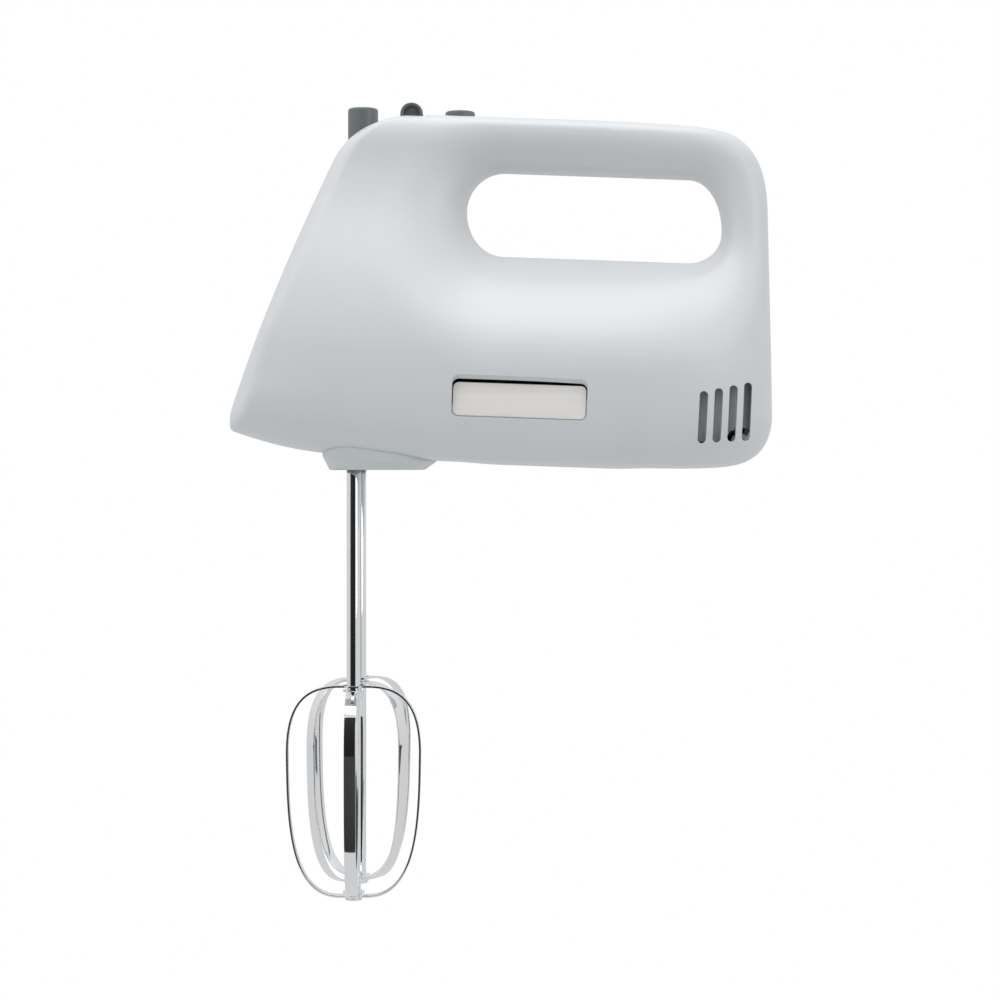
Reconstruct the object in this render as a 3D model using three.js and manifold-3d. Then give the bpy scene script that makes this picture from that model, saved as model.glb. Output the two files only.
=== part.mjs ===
// Hand mixer: two shells with a closed handle, a worm-geared motor and two strip beaters.
// Millimetres. +X runs to the rear, +Y to the right-hand side and +Z up. The origin is on the
// flat underside of the socket collar, midway between the two beater shafts.

import * as THREE from 'three';
import { mergeVertices } from 'three/addons/utils/BufferGeometryUtils.js';
import Module from 'manifold-3d';

const wasm = await Module();
wasm.setup();

// ---- Driving dimensions -------------------------------------------------------------------

const gap = 0.3; // between pieces that touch
const running = 0.4; // between pieces that move past each other

// Body. It leans nose-up against the beater shafts, so it has a tilted frame of its own.
const bodyTilt = THREE.MathUtils.degToRad(2);
const bodyLength = 200.4;
const bodyBottom = 3.8;
const bodyHeight = 128.4;
const noseReach = 47.2; // from the shafts forward to the tip of the nose
const noseHeight = 17;
const planRoundness = 2.8; // exponent of the rounded plan of each level
const wall = 2.5;
const handleThickness = 20.1;
const gripLength = 94.9; // the finger opening
const gripHeight = 31.1;
const gripRearWall = 20.6;
const gripFlare = 7; // how far the opening's rim has rolled back at the handle's side
const handleHalfWidth = 17.5;

// Gear drive: one worm between two wheels, whose spacing is the beaters' spacing
const gearModule = 1;
const wheelTeeth = 28;
const wormStarts = 2;
const wormPitch = 4; // radius
const wheelPitch = gearModule * wheelTeeth / 2; // radius
const shaftSpacing = 2 * (wheelPitch + wormPitch);
const toothThickness = 1.3; // at the pitch line, under half a pitch for backlash
const wheelFace = 8;
const wormLength = 15;
const motorHeight = 38; // the motor axis above the collar's underside
const spindleRadius = 7;
const spindleBottom = 1;
const spindleTop = motorHeight + wheelFace / 2 + 4;
const wheelSideRoom = 10; // from a wheel's pitch circle to the outside of the body
const bodyWidth = 2 * (shaftSpacing / 2 + wheelPitch + wheelSideRoom);

// Sockets
const socketRadius = spindleRadius + 0.6;
const collarLength = 41.5;
const collarWidth = shaftSpacing + 24;
const collarCentre = 8.75;
const collarHeight = 13;

// Beaters
const beaterShaftRadius = 2.55;
const beaterShaftTop = 24;
const beaterTop = -78.4;
const beaterBottom = -155.5;
const beaterHalfWidth = 24.6;
const tabBottom = 7; // the drive tabs on the shaft, up in the slotted spindle
const tabHeight = 4;
const tabReach = 4.6;
const tabThickness = 1.4;
const stripWidth = 4.2;
const stripThickness = 0.8;

// Motor
const armatureShaftRadius = 2.5;
const statorLength = 28;
const statorFront = 46;
const statorHalfWidth = 27;
const statorHalfHeight = 22;
const statorBore = 14.6;
const coilInner = 15.3;
const coilOuter = 20;
const coilOverhang = 4.5;
const armatureRadius = 14;
const commutatorRadius = 8;
const commutatorFront = 84;
const commutatorLength = 10;
const fanFront = 29;
const fanRadius = 19;
const bearingRadius = 5;
const bearingLength = 5;

// Controls
const ejectRadius = 5.6;
const ejectX = 2.4;
const ejectProud = 2.4; // above the crown line of the body
const ejectTravel = 8;
const selectorX = 20.8;
const selectorWidth = 8.3;
const selectorLength = 8;
const selectorProud = 3.5;
const selectorTravel = 14;
const pulseRadius = 5.6;
const pulseX = 38.5;
const pulseProud = 2.25;
const pulseTravel = 2;

// ---- Finishes -----------------------------------------------------------------------------

function finish(color, roughness, metalness = 0) {
  return new THREE.MeshStandardMaterial({ color, roughness, metalness });
}

const shellPlastic = finish(0xd6dadd, 0.38);
const collarPlastic = finish(0xa4a9ac, 0.45);
const buttonPlastic = finish(0x66696b, 0.5);
const innerPlastic = finish(0x2c2e30, 0.6);
const chrome = finish(0xd8dadc, 0.08, 1);
const steel = finish(0x9a9c9e, 0.35, 1);
const castZinc = finish(0x8b8f92, 0.5, 1);
const lamination = finish(0x5d6064, 0.55, 1);
const copper = finish(0xb4703c, 0.35, 1);
const bronze = finish(0x9c7a48, 0.45, 1);
const carbon = finish(0x202020, 0.75);
const acetal = finish(0xe8e4d8, 0.45);
const boardLacquer = finish(0x2e3231, 0.55);
const filmYellow = finish(0xc9a227, 0.5);
const badgeMetal = finish(0xd6d4d0, 0.3, 1);
const rubber = finish(0x333537, 0.8);
const fleece = finish(0x8d9293, 0.9);

// ---- Solids and joins ---------------------------------------------------------------------

const far = 300; // past every face, for cutters

// Gives a closed geometry back with shared corners, no empty faces, and its faces pointing out.
function tidy(geometry) {
  const bare = geometry.clone();
  bare.deleteAttribute('normal');
  bare.deleteAttribute('uv');
  const merged = mergeVertices(bare, 1e-4);
  const at = merged.attributes.position;
  const corners = [];
  const a = new THREE.Vector3();
  const b = new THREE.Vector3();
  const c = new THREE.Vector3();
  let volume = 0;
  for (let i = 0; i < merged.index.count; i += 3) {
    const [p, q, r] = [0, 1, 2].map((step) => merged.index.getX(i + step));
    if (p === q || q === r || r === p) continue;
    corners.push(p, q, r);
    a.fromBufferAttribute(at, p);
    b.fromBufferAttribute(at, q);
    c.fromBufferAttribute(at, r);
    volume += a.dot(b.cross(c));
  }
  merged.setIndex(volume < 0 ? corners.reverse() : corners);
  return merged;
}

function solid(geometry) {
  const clean = tidy(geometry);
  return new wasm.Manifold(new wasm.Mesh({
    numProp: 3,
    vertProperties: new Float32Array(clean.attributes.position.array),
    triVerts: new Uint32Array(clean.index.array),
  }));
}

function geometryOf(body) {
  const mesh = body.getMesh();
  const geometry = new THREE.BufferGeometry();
  geometry.setAttribute('position', new THREE.BufferAttribute(new Float32Array(mesh.vertProperties), 3));
  geometry.setIndex(new THREE.BufferAttribute(new Uint32Array(mesh.triVerts), 1));
  geometry.computeVertexNormals();
  return geometry;
}

function joined(...bodies) {
  return bodies.reduce((whole, body) => whole.add(body));
}

function block(x0, x1, y0, y1, z0, z1) {
  const box = new THREE.BoxGeometry(x1 - x0, y1 - y0, z1 - z0);
  return solid(box.translate((x0 + x1) / 2, (y0 + y1) / 2, (z0 + z1) / 2));
}

// A round bar from one point to another.
function barGeometry(from, to, radius, sides = 20) {
  const start = new THREE.Vector3(...from);
  const end = new THREE.Vector3(...to);
  const run = end.clone().sub(start);
  const bar = new THREE.CylinderGeometry(radius, radius, run.length(), sides);
  const turn = new THREE.Quaternion().setFromUnitVectors(new THREE.Vector3(0, 1, 0), run.normalize());
  bar.applyQuaternion(turn);
  const middle = start.add(end).multiplyScalar(0.5);
  return bar.translate(middle.x, middle.y, middle.z);
}

function bar(from, to, radius, sides) {
  return solid(barGeometry(from, to, radius, sides));
}

// A ring or sleeve along Z or X, turned from a closed profile.
function sleeveZ(x, y, z0, z1, outer, inner, sides = 24) {
  const profile = [[inner, z0], [outer, z0], [outer, z1], [inner, z1], [inner, z0]];
  const ring = new THREE.LatheGeometry(profile.map(([r, h]) => new THREE.Vector2(r, h)), sides);
  return solid(ring.rotateX(Math.PI / 2).translate(x, y, 0));
}

function sleeveX(x0, x1, z, outer, inner, sides = 24) {
  const profile = [[inner, x0], [outer, x0], [outer, x1], [inner, x1], [inner, x0]];
  const ring = new THREE.LatheGeometry(profile.map(([r, h]) => new THREE.Vector2(r, h)), sides);
  return solid(ring.rotateZ(-Math.PI / 2).translate(0, 0, z));
}

function extrude(shape, depth, steps = 1, curveSegments = 8) {
  return new THREE.ExtrudeGeometry(shape, { depth, steps, curveSegments, bevelEnabled: false });
}

// Lays a geometry extruded along Z down along X: its own x becomes Y and its own y becomes Z.
function alongX(geometry) {
  return geometry.rotateX(Math.PI / 2).rotateZ(Math.PI / 2);
}

// Turns each level of an extrusion about Z, for a helical tooth or thread.
function twisted(geometry, turnPerMillimetre) {
  const at = geometry.attributes.position;
  const point = new THREE.Vector3();
  const axis = new THREE.Vector3(0, 0, 1);
  for (let i = 0; i < at.count; i += 1) {
    point.fromBufferAttribute(at, i).applyAxisAngle(axis, point.z * turnPerMillimetre);
    at.setXYZ(i, point.x, point.y, point.z);
  }
  return geometry;
}

// ---- The model tree -----------------------------------------------------------------------

const mixer = new THREE.Group();
const leaning = new THREE.Group(); // pieces that follow the leaning body
leaning.rotation.y = bodyTilt;
mixer.add(leaning);

function place(name, body, material, group = mixer) {
  const mesh = new THREE.Mesh(geometryOf(body), material);
  mesh.name = name;
  group.add(mesh);
  return mesh;
}

// ---- Body shells --------------------------------------------------------------------------

const bodyTop = bodyBottom + bodyHeight;
const bodyRear = bodyLength - noseReach;

// Side outline of the body, as its front and rear edges from the underside up to the crown.
const frontEdge = new THREE.Path();
frontEdge.moveTo(30, bodyBottom);
frontEdge.bezierCurveTo(-8, bodyBottom, 17 - noseReach, bodyBottom + 2.7, 4.2 - noseReach, noseHeight - 4.6);
frontEdge.quadraticCurveTo(-1.2 - noseReach, noseHeight - 2.4, 0.3 - noseReach, noseHeight + 4);
frontEdge.quadraticCurveTo(14 - noseReach, bodyTop - 65.6, -13.1, bodyTop - 19);
frontEdge.bezierCurveTo(-7.5, bodyTop - 5.7, 4, bodyTop - 0.6, 24, bodyTop);

const rearEdge = new THREE.Path();
rearEdge.moveTo(bodyRear - 41, bodyBottom);
rearEdge.bezierCurveTo(bodyRear - 13, bodyBottom + 0.4, bodyRear - 1, bodyBottom + 2.7,
  bodyRear, bodyBottom + 20);
rearEdge.lineTo(bodyRear - 4, bodyTop - 31);
rearEdge.bezierCurveTo(bodyRear - 5, bodyTop - 14, bodyRear - 10, bodyTop - 1, bodyRear - 32, bodyTop);

// Half of the width, as seen from the front, from the underside up to the crown.
const halfWidth = bodyWidth / 2;
const sideEdge = new THREE.Path();
sideEdge.moveTo(bodyWidth / 3, bodyBottom);
sideEdge.bezierCurveTo(halfWidth - 4, bodyBottom + 3, halfWidth, bodyBottom + 22,
  halfWidth, bodyBottom + 36);
sideEdge.bezierCurveTo(halfWidth, bodyBottom + 66, handleHalfWidth + 1.5, bodyTop - 42,
  handleHalfWidth, bodyTop - 15);
sideEdge.bezierCurveTo(handleHalfWidth, bodyTop - 6, handleHalfWidth - 2.5, bodyTop - 1,
  handleHalfWidth - 8, bodyTop);

// Reads how far out an edge lies at a given height.
function edgeReader(edge) {
  const points = edge.getPoints(16);
  return (height) => {
    const above = points.findIndex((point) => point.y >= height);
    if (above < 0) return points[points.length - 1].x;
    if (above === 0) return points[0].x;
    const [low, high] = [points[above - 1], points[above]];
    const share = (height - low.y) / Math.max(high.y - low.y, 1e-6);
    return THREE.MathUtils.lerp(low.x, high.x, share);
  };
}

const frontAt = edgeReader(frontEdge);
const rearAt = edgeReader(rearEdge);
const sideAt = edgeReader(sideEdge);

// The closed form of the body before the finger opening, drawn in by an inset or lowered by a drop.
function bodyForm(inset, drop = 0) {
  const near = (height) => [height - inset, height + inset];
  const front = (height) => Math.max(frontAt(height) + inset, ...near(height).map(frontAt));
  const rear = (height) => Math.min(rearAt(height) - inset, ...near(height).map(rearAt));
  const side = (height) => Math.min(sideAt(height) - inset, ...near(height).map(sideAt));
  const form = new THREE.CylinderGeometry(1, 1, 1, 28, 16);
  const at = form.attributes.position;
  for (let i = 0; i < at.count; i += 1) {
    const level = at.getY(i) + 0.5;
    const crowded = level - 0.12 * Math.sin(2 * Math.PI * level); // more levels at both ends
    const height = THREE.MathUtils.lerp(bodyBottom + inset, bodyTop - inset, crowded);
    const round = (value) => Math.sign(value) * Math.abs(value) ** (2 / planRoundness);
    const middle = (front(height) + rear(height)) / 2;
    const reach = (rear(height) - front(height)) / 2;
    at.setXYZ(i, middle + reach * round(at.getX(i)), side(height) * round(at.getZ(i)), height);
  }
  return solid(form.rotateY(bodyTilt).translate(0, 0, -drop));
}

// The finger opening, with a rim that rolls back towards both sides.
const gripMiddle = bodyTop - handleThickness - gripHeight / 2;
const gripRear = bodyRear - gripRearWall;
const gripFront = gripRear - gripLength;

function gripForm(growth) {
  const rim = (y) => {
    const curve = gripFlare / handleHalfWidth ** 2;
    const beyond = Math.max(Math.abs(y) - handleHalfWidth, 0);
    const within = Math.abs(y) - beyond;
    return curve * within ** 2 + 2 * curve * handleHalfWidth * beyond;
  };
  const sides = 24;
  const form = new THREE.CylinderGeometry(1, 1, 2, sides, 8).rotateY(Math.PI / sides);
  const at = form.attributes.position;
  for (let i = 0; i < at.count; i += 1) {
    const y = Math.sign(at.getY(i)) * bodyWidth * 0.6 * Math.abs(at.getY(i)) ** 1.6;
    const radius = gripHeight / 2 + rim(y) + growth;
    const centre = at.getX(i) < 0 ? gripFront + gripHeight / 2 : gripRear - gripHeight / 2;
    const onCap = Math.hypot(at.getX(i), at.getZ(i)) < 0.5;
    const x = onCap ? (gripFront + gripRear) / 2 : centre + radius * at.getX(i);
    at.setXYZ(i, x, y, gripMiddle + radius * at.getZ(i));
  }
  return solid(form.rotateY(bodyTilt));
}

const outerBody = bodyForm(0).subtract(gripForm(0));
const innerSpace = bodyForm(wall).subtract(gripForm(wall * 1.3));

// Converts a place in the leaning body's frame to the mixer's frame.
function upright(along, up) {
  return new THREE.Vector3(along, 0, up).applyAxisAngle(new THREE.Vector3(0, 1, 0), bodyTilt);
}

function crownHeight(x) {
  return (bodyTop - x * Math.sin(bodyTilt)) / Math.cos(bodyTilt);
}

// Screw bosses: the left shell holds the thread and the right shell the deep counterbore.
const screwPlaces = [
  [13 - noseReach, noseHeight + 7],
  [bodyRear - 12, bodyBottom + 52],
  [bodyRear - 26, bodyTop - 10],
  [gripFront - 11.7, gripMiddle + 6],
  [statorFront + statorLength + 14, gripMiddle - gripHeight / 2 - 9],
  [bodyRear - 13, bodyBottom + 11],
];
const screwRadius = 1.5;
const screwHeadRadius = 3.2;
const screwHeadHeight = 2.4;
const screwSeat = 8; // from the split to the underside of the head
const screwDepth = 11;
const bossWall = 1.6;

function crossBar(along, up, y0, y1, radius, sides = 16) {
  return solid(barGeometry([along, y0, up], [along, y1, up], radius, sides).rotateY(bodyTilt));
}

const leftBosses = joined(...screwPlaces.map(
  ([along, up]) => crossBar(along, up, -far, 0, screwRadius + gap + bossWall),
));
const rightBosses = joined(...screwPlaces.map(
  ([along, up]) => crossBar(along, up, 0, far, screwHeadRadius + gap + bossWall),
));
const pilotHoles = joined(...screwPlaces.map(
  ([along, up]) => crossBar(along, up, -screwDepth - gap, screwSeat + 1, screwRadius + gap),
));
const counterbores = joined(...screwPlaces.map(
  ([along, up]) => crossBar(along, up, screwSeat, far, screwHeadRadius + gap),
));

// Vent slots low at the rear of both sides.
const slotCount = 4;
const slotWidth = 3.1;
const slotPitch = 5.5;
const slotLength = 18.6;
const firstSlot = bodyRear - 28;
const slots = joined(...Array.from({ length: slotCount }, (_, i) => {
  const along = firstSlot + i * slotPitch;
  const low = bodyBottom + 10.2 + i * 0.5 + slotWidth / 2;
  const high = low + slotLength - slotWidth + i * 0.8;
  const ends = [low, high].map((up) => crossBar(along, up, -far, far, slotWidth / 2, 12));
  const middle = new THREE.BoxGeometry(slotWidth, 2 * far, high - low).translate(along, 0, (low + high) / 2);
  return joined(...ends, solid(middle.rotateY(bodyTilt)));
}));

// Badge recess in the left side, flat-floored in the bulging wall.
const badgeLength = 47.5;
const badgeHeight = 14.3;
const badgeAlong = 59.3;
const badgeUp = 27.9;
const badgeCorner = 2;
const badgeThickness = 0.9;
const badgeFloor = sideAt(badgeUp - badgeHeight / 2) - 2.1;

function badgeSlab(grow, y0, y1) {
  const halfLength = badgeLength / 2 + grow;
  const halfHeight = badgeHeight / 2 + grow;
  const corner = badgeCorner + grow;
  const outline = new THREE.Shape();
  outline.absarc(halfLength - corner, halfHeight - corner, corner, 0, Math.PI / 2);
  outline.absarc(corner - halfLength, halfHeight - corner, corner, Math.PI / 2, Math.PI);
  outline.absarc(corner - halfLength, corner - halfHeight, corner, Math.PI, 1.5 * Math.PI);
  outline.absarc(halfLength - corner, corner - halfHeight, corner, 1.5 * Math.PI, 2 * Math.PI);
  const slab = extrude(outline, y1 - y0, 1, 4).rotateX(Math.PI / 2);
  return slab.translate(badgeAlong, y1, badgeUp);
}

const badgeRecess = solid(badgeSlab(gap, -far, -badgeFloor).rotateY(bodyTilt));
const badgeBacking = solid(badgeSlab(2, -far, wall - badgeFloor).rotateY(bodyTilt));

// Openings for the sockets, the controls and the cord gland.
const socketYs = [-shaftSpacing / 2, shaftSpacing / 2];
const glandUp = bodyBottom + 30;
const glandRadius = 5;
const selectorSlot = selectorTravel / 2 + 2.5;
const pocketFloor = crownHeight(selectorX) - 1.4;
const wells = joined(
  ...socketYs.map((y) => bar([0, y, -5], [0, y, 15], socketRadius)),
  bar([ejectX, 0, crownHeight(ejectX) - 26], [ejectX, 0, far], ejectRadius + running),
  bar([pulseX, 0, crownHeight(pulseX) - 8], [pulseX, 0, far], pulseRadius + running),
  block(selectorX - selectorWidth / 2 - 1, selectorX + selectorWidth / 2 + 1,
    -selectorTravel / 2 - selectorLength / 2 - 1, selectorTravel / 2 + selectorLength / 2 + 1,
    pocketFloor, far),
  block(selectorX - 1.7, selectorX + 1.7, -selectorSlot, selectorSlot, crownHeight(selectorX) - 8, far),
  solid(barGeometry([bodyRear - 12, 0, glandUp], [bodyRear + 20, 0, glandUp], glandRadius + gap)
    .rotateY(bodyTilt)),
);

const shell = outerBody.subtract(innerSpace);
const leftSide = block(-far, far, -far, -gap / 2, -far, far);
const rightSide = block(-far, far, gap / 2, far, -far, far);
const leftCasing = joined(shell, leftBosses.intersect(outerBody), badgeBacking.intersect(outerBody))
  .intersect(leftSide)
  .subtract(joined(pilotHoles, slots, badgeRecess, wells));
const rightCasing = joined(shell, rightBosses.intersect(outerBody))
  .intersect(rightSide)
  .subtract(joined(pilotHoles, counterbores, slots, wells));
place('left_casing', leftCasing, shellPlastic);
place('right_casing', rightCasing, shellPlastic);
const badge = badgeSlab(0, -badgeFloor - badgeThickness, -badgeFloor - gap);
place('badge_plate', solid(badge), badgeMetal, leaning);

screwPlaces.forEach(([along, up], index) => {
  const seat = screwSeat + gap;
  const screw = joined(
    bar([along, -screwDepth, up], [along, seat + 0.5, up], screwRadius, 12),
    bar([along, seat, up], [along, seat + screwHeadHeight, up], screwHeadRadius, 16),
  ).subtract(joined(
    block(along - 2, along + 2, seat + 1.2, far, up - 0.4, up + 0.4),
    block(along - 0.4, along + 0.4, seat + 1.2, far, up - 2, up + 2),
  ));
  place(`casing_screw_${index + 1}`, screw, steel, leaning);
});

// Cord gland: a flanged bush with its bore, held in the rear wall between the shells.
const glandOuter = rearAt(glandUp) - 0.3;
const glandBody = joined(
  bar([glandOuter - 9, 0, glandUp], [glandOuter, 0, glandUp], glandRadius, 20),
  bar([glandOuter - 9, 0, glandUp], [glandOuter - 5.5, 0, glandUp], glandRadius + 3, 20),
).subtract(bar([glandOuter - 12, 0, glandUp], [glandOuter + 1, 0, glandUp], 3.2, 16));
place('cord_gland', glandBody, rubber, leaning);

// Dust screens: a bent strip of fleece behind the slots on each side, notched for the bosses.
const screenFront = firstSlot - 3.5;
const screenRear = bodyRear - 8;
const screenBottom = bodyBottom + 10.8;
const screenTop = bodyBottom + 33;
const screenInset = wall + 5.2;
const screenThickness = 1;
const screenLevel = (screenBottom + screenTop) / 2;
const screenCentre = (frontAt(screenLevel) + rearAt(screenLevel)) / 2;
const screenReach = (rearAt(screenLevel) - frontAt(screenLevel)) / 2;
const screenLine = Array.from({ length: 9 }, (_, i) => {
  const along = THREE.MathUtils.lerp(screenFront, screenRear, i / 8);
  const share = ((along - screenCentre) / screenReach) ** planRoundness;
  return [along, sideAt(screenLevel) * (1 - share) ** (1 / planRoundness) - screenInset];
});
const bossSpaces = joined(...screwPlaces.map(([along, up]) => bar(
  [along, -far, up], [along, far, up], screwHeadRadius + bossWall + 3 * gap, 16)));
[['left', -1], ['right', 1]].forEach(([side, sign]) => {
  const outline = new THREE.Shape(screenLine.map(([along, y]) => new THREE.Vector2(along, sign * y)));
  [...screenLine].reverse().forEach(([along, y]) => {
    outline.lineTo(along, sign * (y - screenThickness));
  });
  const strip = extrude(outline, screenTop - screenBottom).translate(0, 0, screenBottom);
  place(`${side}_vent_screen`, solid(strip).subtract(bossSpaces), fleece, leaning);
});

// ---- Socket collar ------------------------------------------------------------------------

function collarForm() {
  const form = new THREE.CylinderGeometry(1, 1, 1, 32, 2);
  const at = form.attributes.position;
  for (let i = 0; i < at.count; i += 1) {
    const level = at.getY(i) + 0.5;
    const lean = 1 - 0.07 * (1 - level) ** 2; // drawn in slightly at its lower edge
    const round = (value) => Math.sign(value) * Math.abs(value) ** 0.8;
    const x = collarCentre + collarLength / 2 * lean * round(at.getX(i));
    at.setXYZ(i, x, collarWidth / 2 * lean * round(at.getZ(i)), level * collarHeight);
  }
  return solid(form);
}

const collar = collarForm()
  .subtract(bodyForm(0, gap))
  .subtract(joined(...socketYs.map((y) => bar([0, y, -5], [0, y, 15], socketRadius))));
place('socket_collar', collar, collarPlastic);

// ---- Gear drive ---------------------------------------------------------------------------

const addendum = 0.95 * gearModule;
const dedendum = 1.25 * gearModule;
const pressure = Math.tan(THREE.MathUtils.degToRad(20));
const lead = Math.PI * gearModule * wormStarts;
const leadSlope = lead / (2 * Math.PI * wormPitch);
const wheelBottom = motorHeight - wheelFace / 2;

// One worm wheel about the origin, with a tooth gap facing a given direction at mid-face.
function wormWheel(facing) {
  const outline = new THREE.Shape();
  const tip = wheelPitch + addendum;
  const root = wheelPitch - dedendum;
  const tipHalf = (toothThickness / 2 - addendum * pressure) / tip;
  const rootHalf = (toothThickness / 2 + dedendum * pressure) / root;
  for (let i = 0; i < wheelTeeth; i += 1) {
    const centre = facing + (i + 0.5) * 2 * Math.PI / wheelTeeth;
    const corners = [[root, -rootHalf], [tip, -tipHalf], [tip, tipHalf], [root, rootHalf]];
    corners.forEach(([radius, turn], corner) => {
      const x = radius * Math.cos(centre + turn);
      const y = radius * Math.sin(centre + turn);
      if (i + corner === 0) outline.moveTo(x, y);
      else outline.lineTo(x, y);
    });
  }
  const hole = new THREE.Path();
  hole.absarc(0, 0, spindleRadius + gap, 0, 2 * Math.PI, true);
  outline.holes.push(hole);
  const blank = extrude(outline, wheelFace, 2, 10).translate(0, 0, -wheelFace / 2);
  return twisted(blank, leadSlope / wheelPitch);
}

// The worm's cross-section has one lobe for each start, and it turns as it runs along X.
function wormForm() {
  const outline = new THREE.Shape();
  const tip = wormPitch + addendum;
  const root = wormPitch - dedendum;
  const angle = (halfThickness) => halfThickness * 2 * Math.PI / lead;
  const tipHalf = angle(toothThickness / 2 - addendum * pressure);
  const pitchHalf = angle(toothThickness / 2);
  const rootHalf = angle(toothThickness / 2 + dedendum * pressure);
  for (let i = 0; i < wormStarts; i += 1) {
    const centre = i * 2 * Math.PI / wormStarts;
    const corners = [
      [root, -rootHalf], [wormPitch, -pitchHalf], [tip, -tipHalf], [tip, 0],
      [tip, tipHalf], [wormPitch, pitchHalf], [root, rootHalf], [root, Math.PI / wormStarts],
    ];
    corners.forEach(([radius, turn], corner) => {
      const x = radius * Math.cos(centre + turn);
      const y = radius * Math.sin(centre + turn);
      if (i + corner === 0) outline.moveTo(x, y);
      else outline.lineTo(x, y);
    });
  }
  const steps = Math.ceil(wormLength / lead * 14);
  const blank = extrude(outline, wormLength, steps).translate(0, 0, -wormLength / 2);
  return alongX(twisted(blank, 2 * Math.PI / lead)).translate(0, 0, motorHeight);
}

const sides = ['near', 'far'];
const facings = [Math.PI / 2, -Math.PI / 2];
const pinTop = spindleTop + ejectTravel + 2.4;
socketYs.forEach((y, index) => {
  const side = sides[index];
  const wheel = wormWheel(facings[index]).translate(0, y, motorHeight);
  place(`${side}_worm_wheel`, solid(wheel), acetal);

  // Hollow spindle, slotted from its mouth up for the beater's drive tabs.
  const slotHalfWidth = tabThickness / 2 + running;
  const slotReach = tabReach + 0.6;
  const spindle = sleeveZ(0, y, spindleBottom, spindleTop, spindleRadius, beaterShaftRadius + running)
    .subtract(block(-slotHalfWidth, slotHalfWidth, y - slotReach, y + slotReach,
      -1, tabBottom + tabHeight + 2));
  place(`${side}_spindle`, spindle, steel);
  const clipBottom = wheelBottom + wheelFace + gap;
  const clip = sleeveZ(0, y, clipBottom, clipBottom + 1, spindleRadius + 2.4, spindleRadius + gap)
    .subtract(block(0, far, y - 2, y + 2, 0, far));
  place(`${side}_retaining_clip`, clip, steel);
  place(`${side}_ejector_pin`,
    bar([0, y, beaterShaftTop + gap], [0, y, pinTop], beaterShaftRadius - 0.1, 16), steel);
});

// Gear frame: a cast plate with two spindle bushes and the posts of the worm's bearings.
const plateTop = wheelBottom - 3;
const plateThickness = 3;
const plateHalfWidth = shaftSpacing / 2 + 6;
const bushBottom = 12.5;
const frontBearingX = -25;
const middleBearingX = 17;
const bearingSeat = bearingRadius + gap;

function bearingPost(x0) {
  return joined(
    block(x0, x0 + bearingLength, -8, 8, plateTop - 0.5, motorHeight),
    sleeveX(x0, x0 + bearingLength, motorHeight, bearingSeat + 2.7, 1),
  );
}

const bearingBore = bar([frontBearingX - 5, 0, motorHeight], [middleBearingX + 15, 0, motorHeight],
  bearingSeat, 24);
const gearFrame = joined(
  block(frontBearingX, middleBearingX + bearingLength, -plateHalfWidth, plateHalfWidth,
    plateTop - plateThickness, plateTop),
  bearingPost(frontBearingX),
  bearingPost(middleBearingX),
  ...socketYs.map((y) => bar([0, y, bushBottom], [0, y, plateTop], spindleRadius + 2.4, 24)),
).subtract(joined(
  bearingBore,
  ...socketYs.map((y) => bar([0, y, 0], [0, y, 50], spindleRadius + running, 24)),
));
place('gear_frame', gearFrame, castZinc);
place('front_bearing', sleeveX(frontBearingX, frontBearingX + bearingLength, motorHeight,
  bearingRadius, armatureShaftRadius + gap), bronze);
place('middle_bearing', sleeveX(middleBearingX, middleBearingX + bearingLength, motorHeight,
  bearingRadius, armatureShaftRadius + gap), bronze);

// ---- Motor --------------------------------------------------------------------------------

const statorRear = statorFront + statorLength;
const rearBracketX = commutatorFront + commutatorLength + 8;
const shaftRear = rearBracketX + bearingLength + 2;
const armatureShaft = joined(
  bar([frontBearingX - 1, 0, motorHeight], [shaftRear, 0, motorHeight], armatureShaftRadius, 20),
  solid(wormForm()),
);
place('armature_shaft', armatureShaft, steel);

// Laminated armature core with open slots, and the windings that fill them.
const armatureSlots = 10;
const slotHalf = 1.6;
const slotFloor = 7.5;
let armatureCore = sleeveX(statorFront, statorRear, motorHeight, armatureRadius,
  armatureShaftRadius + gap, 40);
let windings = joined(
  sleeveX(statorFront - 6, statorFront - gap, motorHeight, armatureRadius - 2, armatureShaftRadius + gap),
  sleeveX(statorRear + gap, statorRear + 6, motorHeight, armatureRadius - 2, armatureShaftRadius + gap),
);
for (let i = 0; i < armatureSlots; i += 1) {
  const turn = i * 2 * Math.PI / armatureSlots;
  const bore = (half, low, high, x0, x1) => {
    const box = new THREE.BoxGeometry(x1 - x0, 2 * half, high - low);
    box.translate((x0 + x1) / 2, 0, (low + high) / 2).rotateX(turn);
    return solid(box.translate(0, 0, motorHeight));
  };
  armatureCore = armatureCore.subtract(
    bore(slotHalf, slotFloor, armatureRadius + 1, statorFront - 1, statorRear + 1),
  );
  windings = windings.add(
    bore(slotHalf - gap, slotFloor + gap, armatureRadius - 2.3, statorFront - 1, statorRear + 1),
  );
}
place('armature_core', armatureCore, lamination);
place('armature_windings', windings, copper);

// Commutator with shallow cuts between its bars.
const commutatorBars = 12;
let commutator = sleeveX(commutatorFront, commutatorFront + commutatorLength, motorHeight,
  commutatorRadius, armatureShaftRadius + gap, 24);
for (let i = 0; i < commutatorBars; i += 1) {
  const cut = new THREE.BoxGeometry(commutatorLength + 2, 0.5, 2);
  cut.translate(commutatorFront + commutatorLength / 2, 0, commutatorRadius + 0.4);
  cut.rotateX((i + 0.5) * 2 * Math.PI / commutatorBars);
  commutator = commutator.subtract(solid(cut.translate(0, 0, motorHeight)));
}
place('commutator', commutator, copper);

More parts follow.
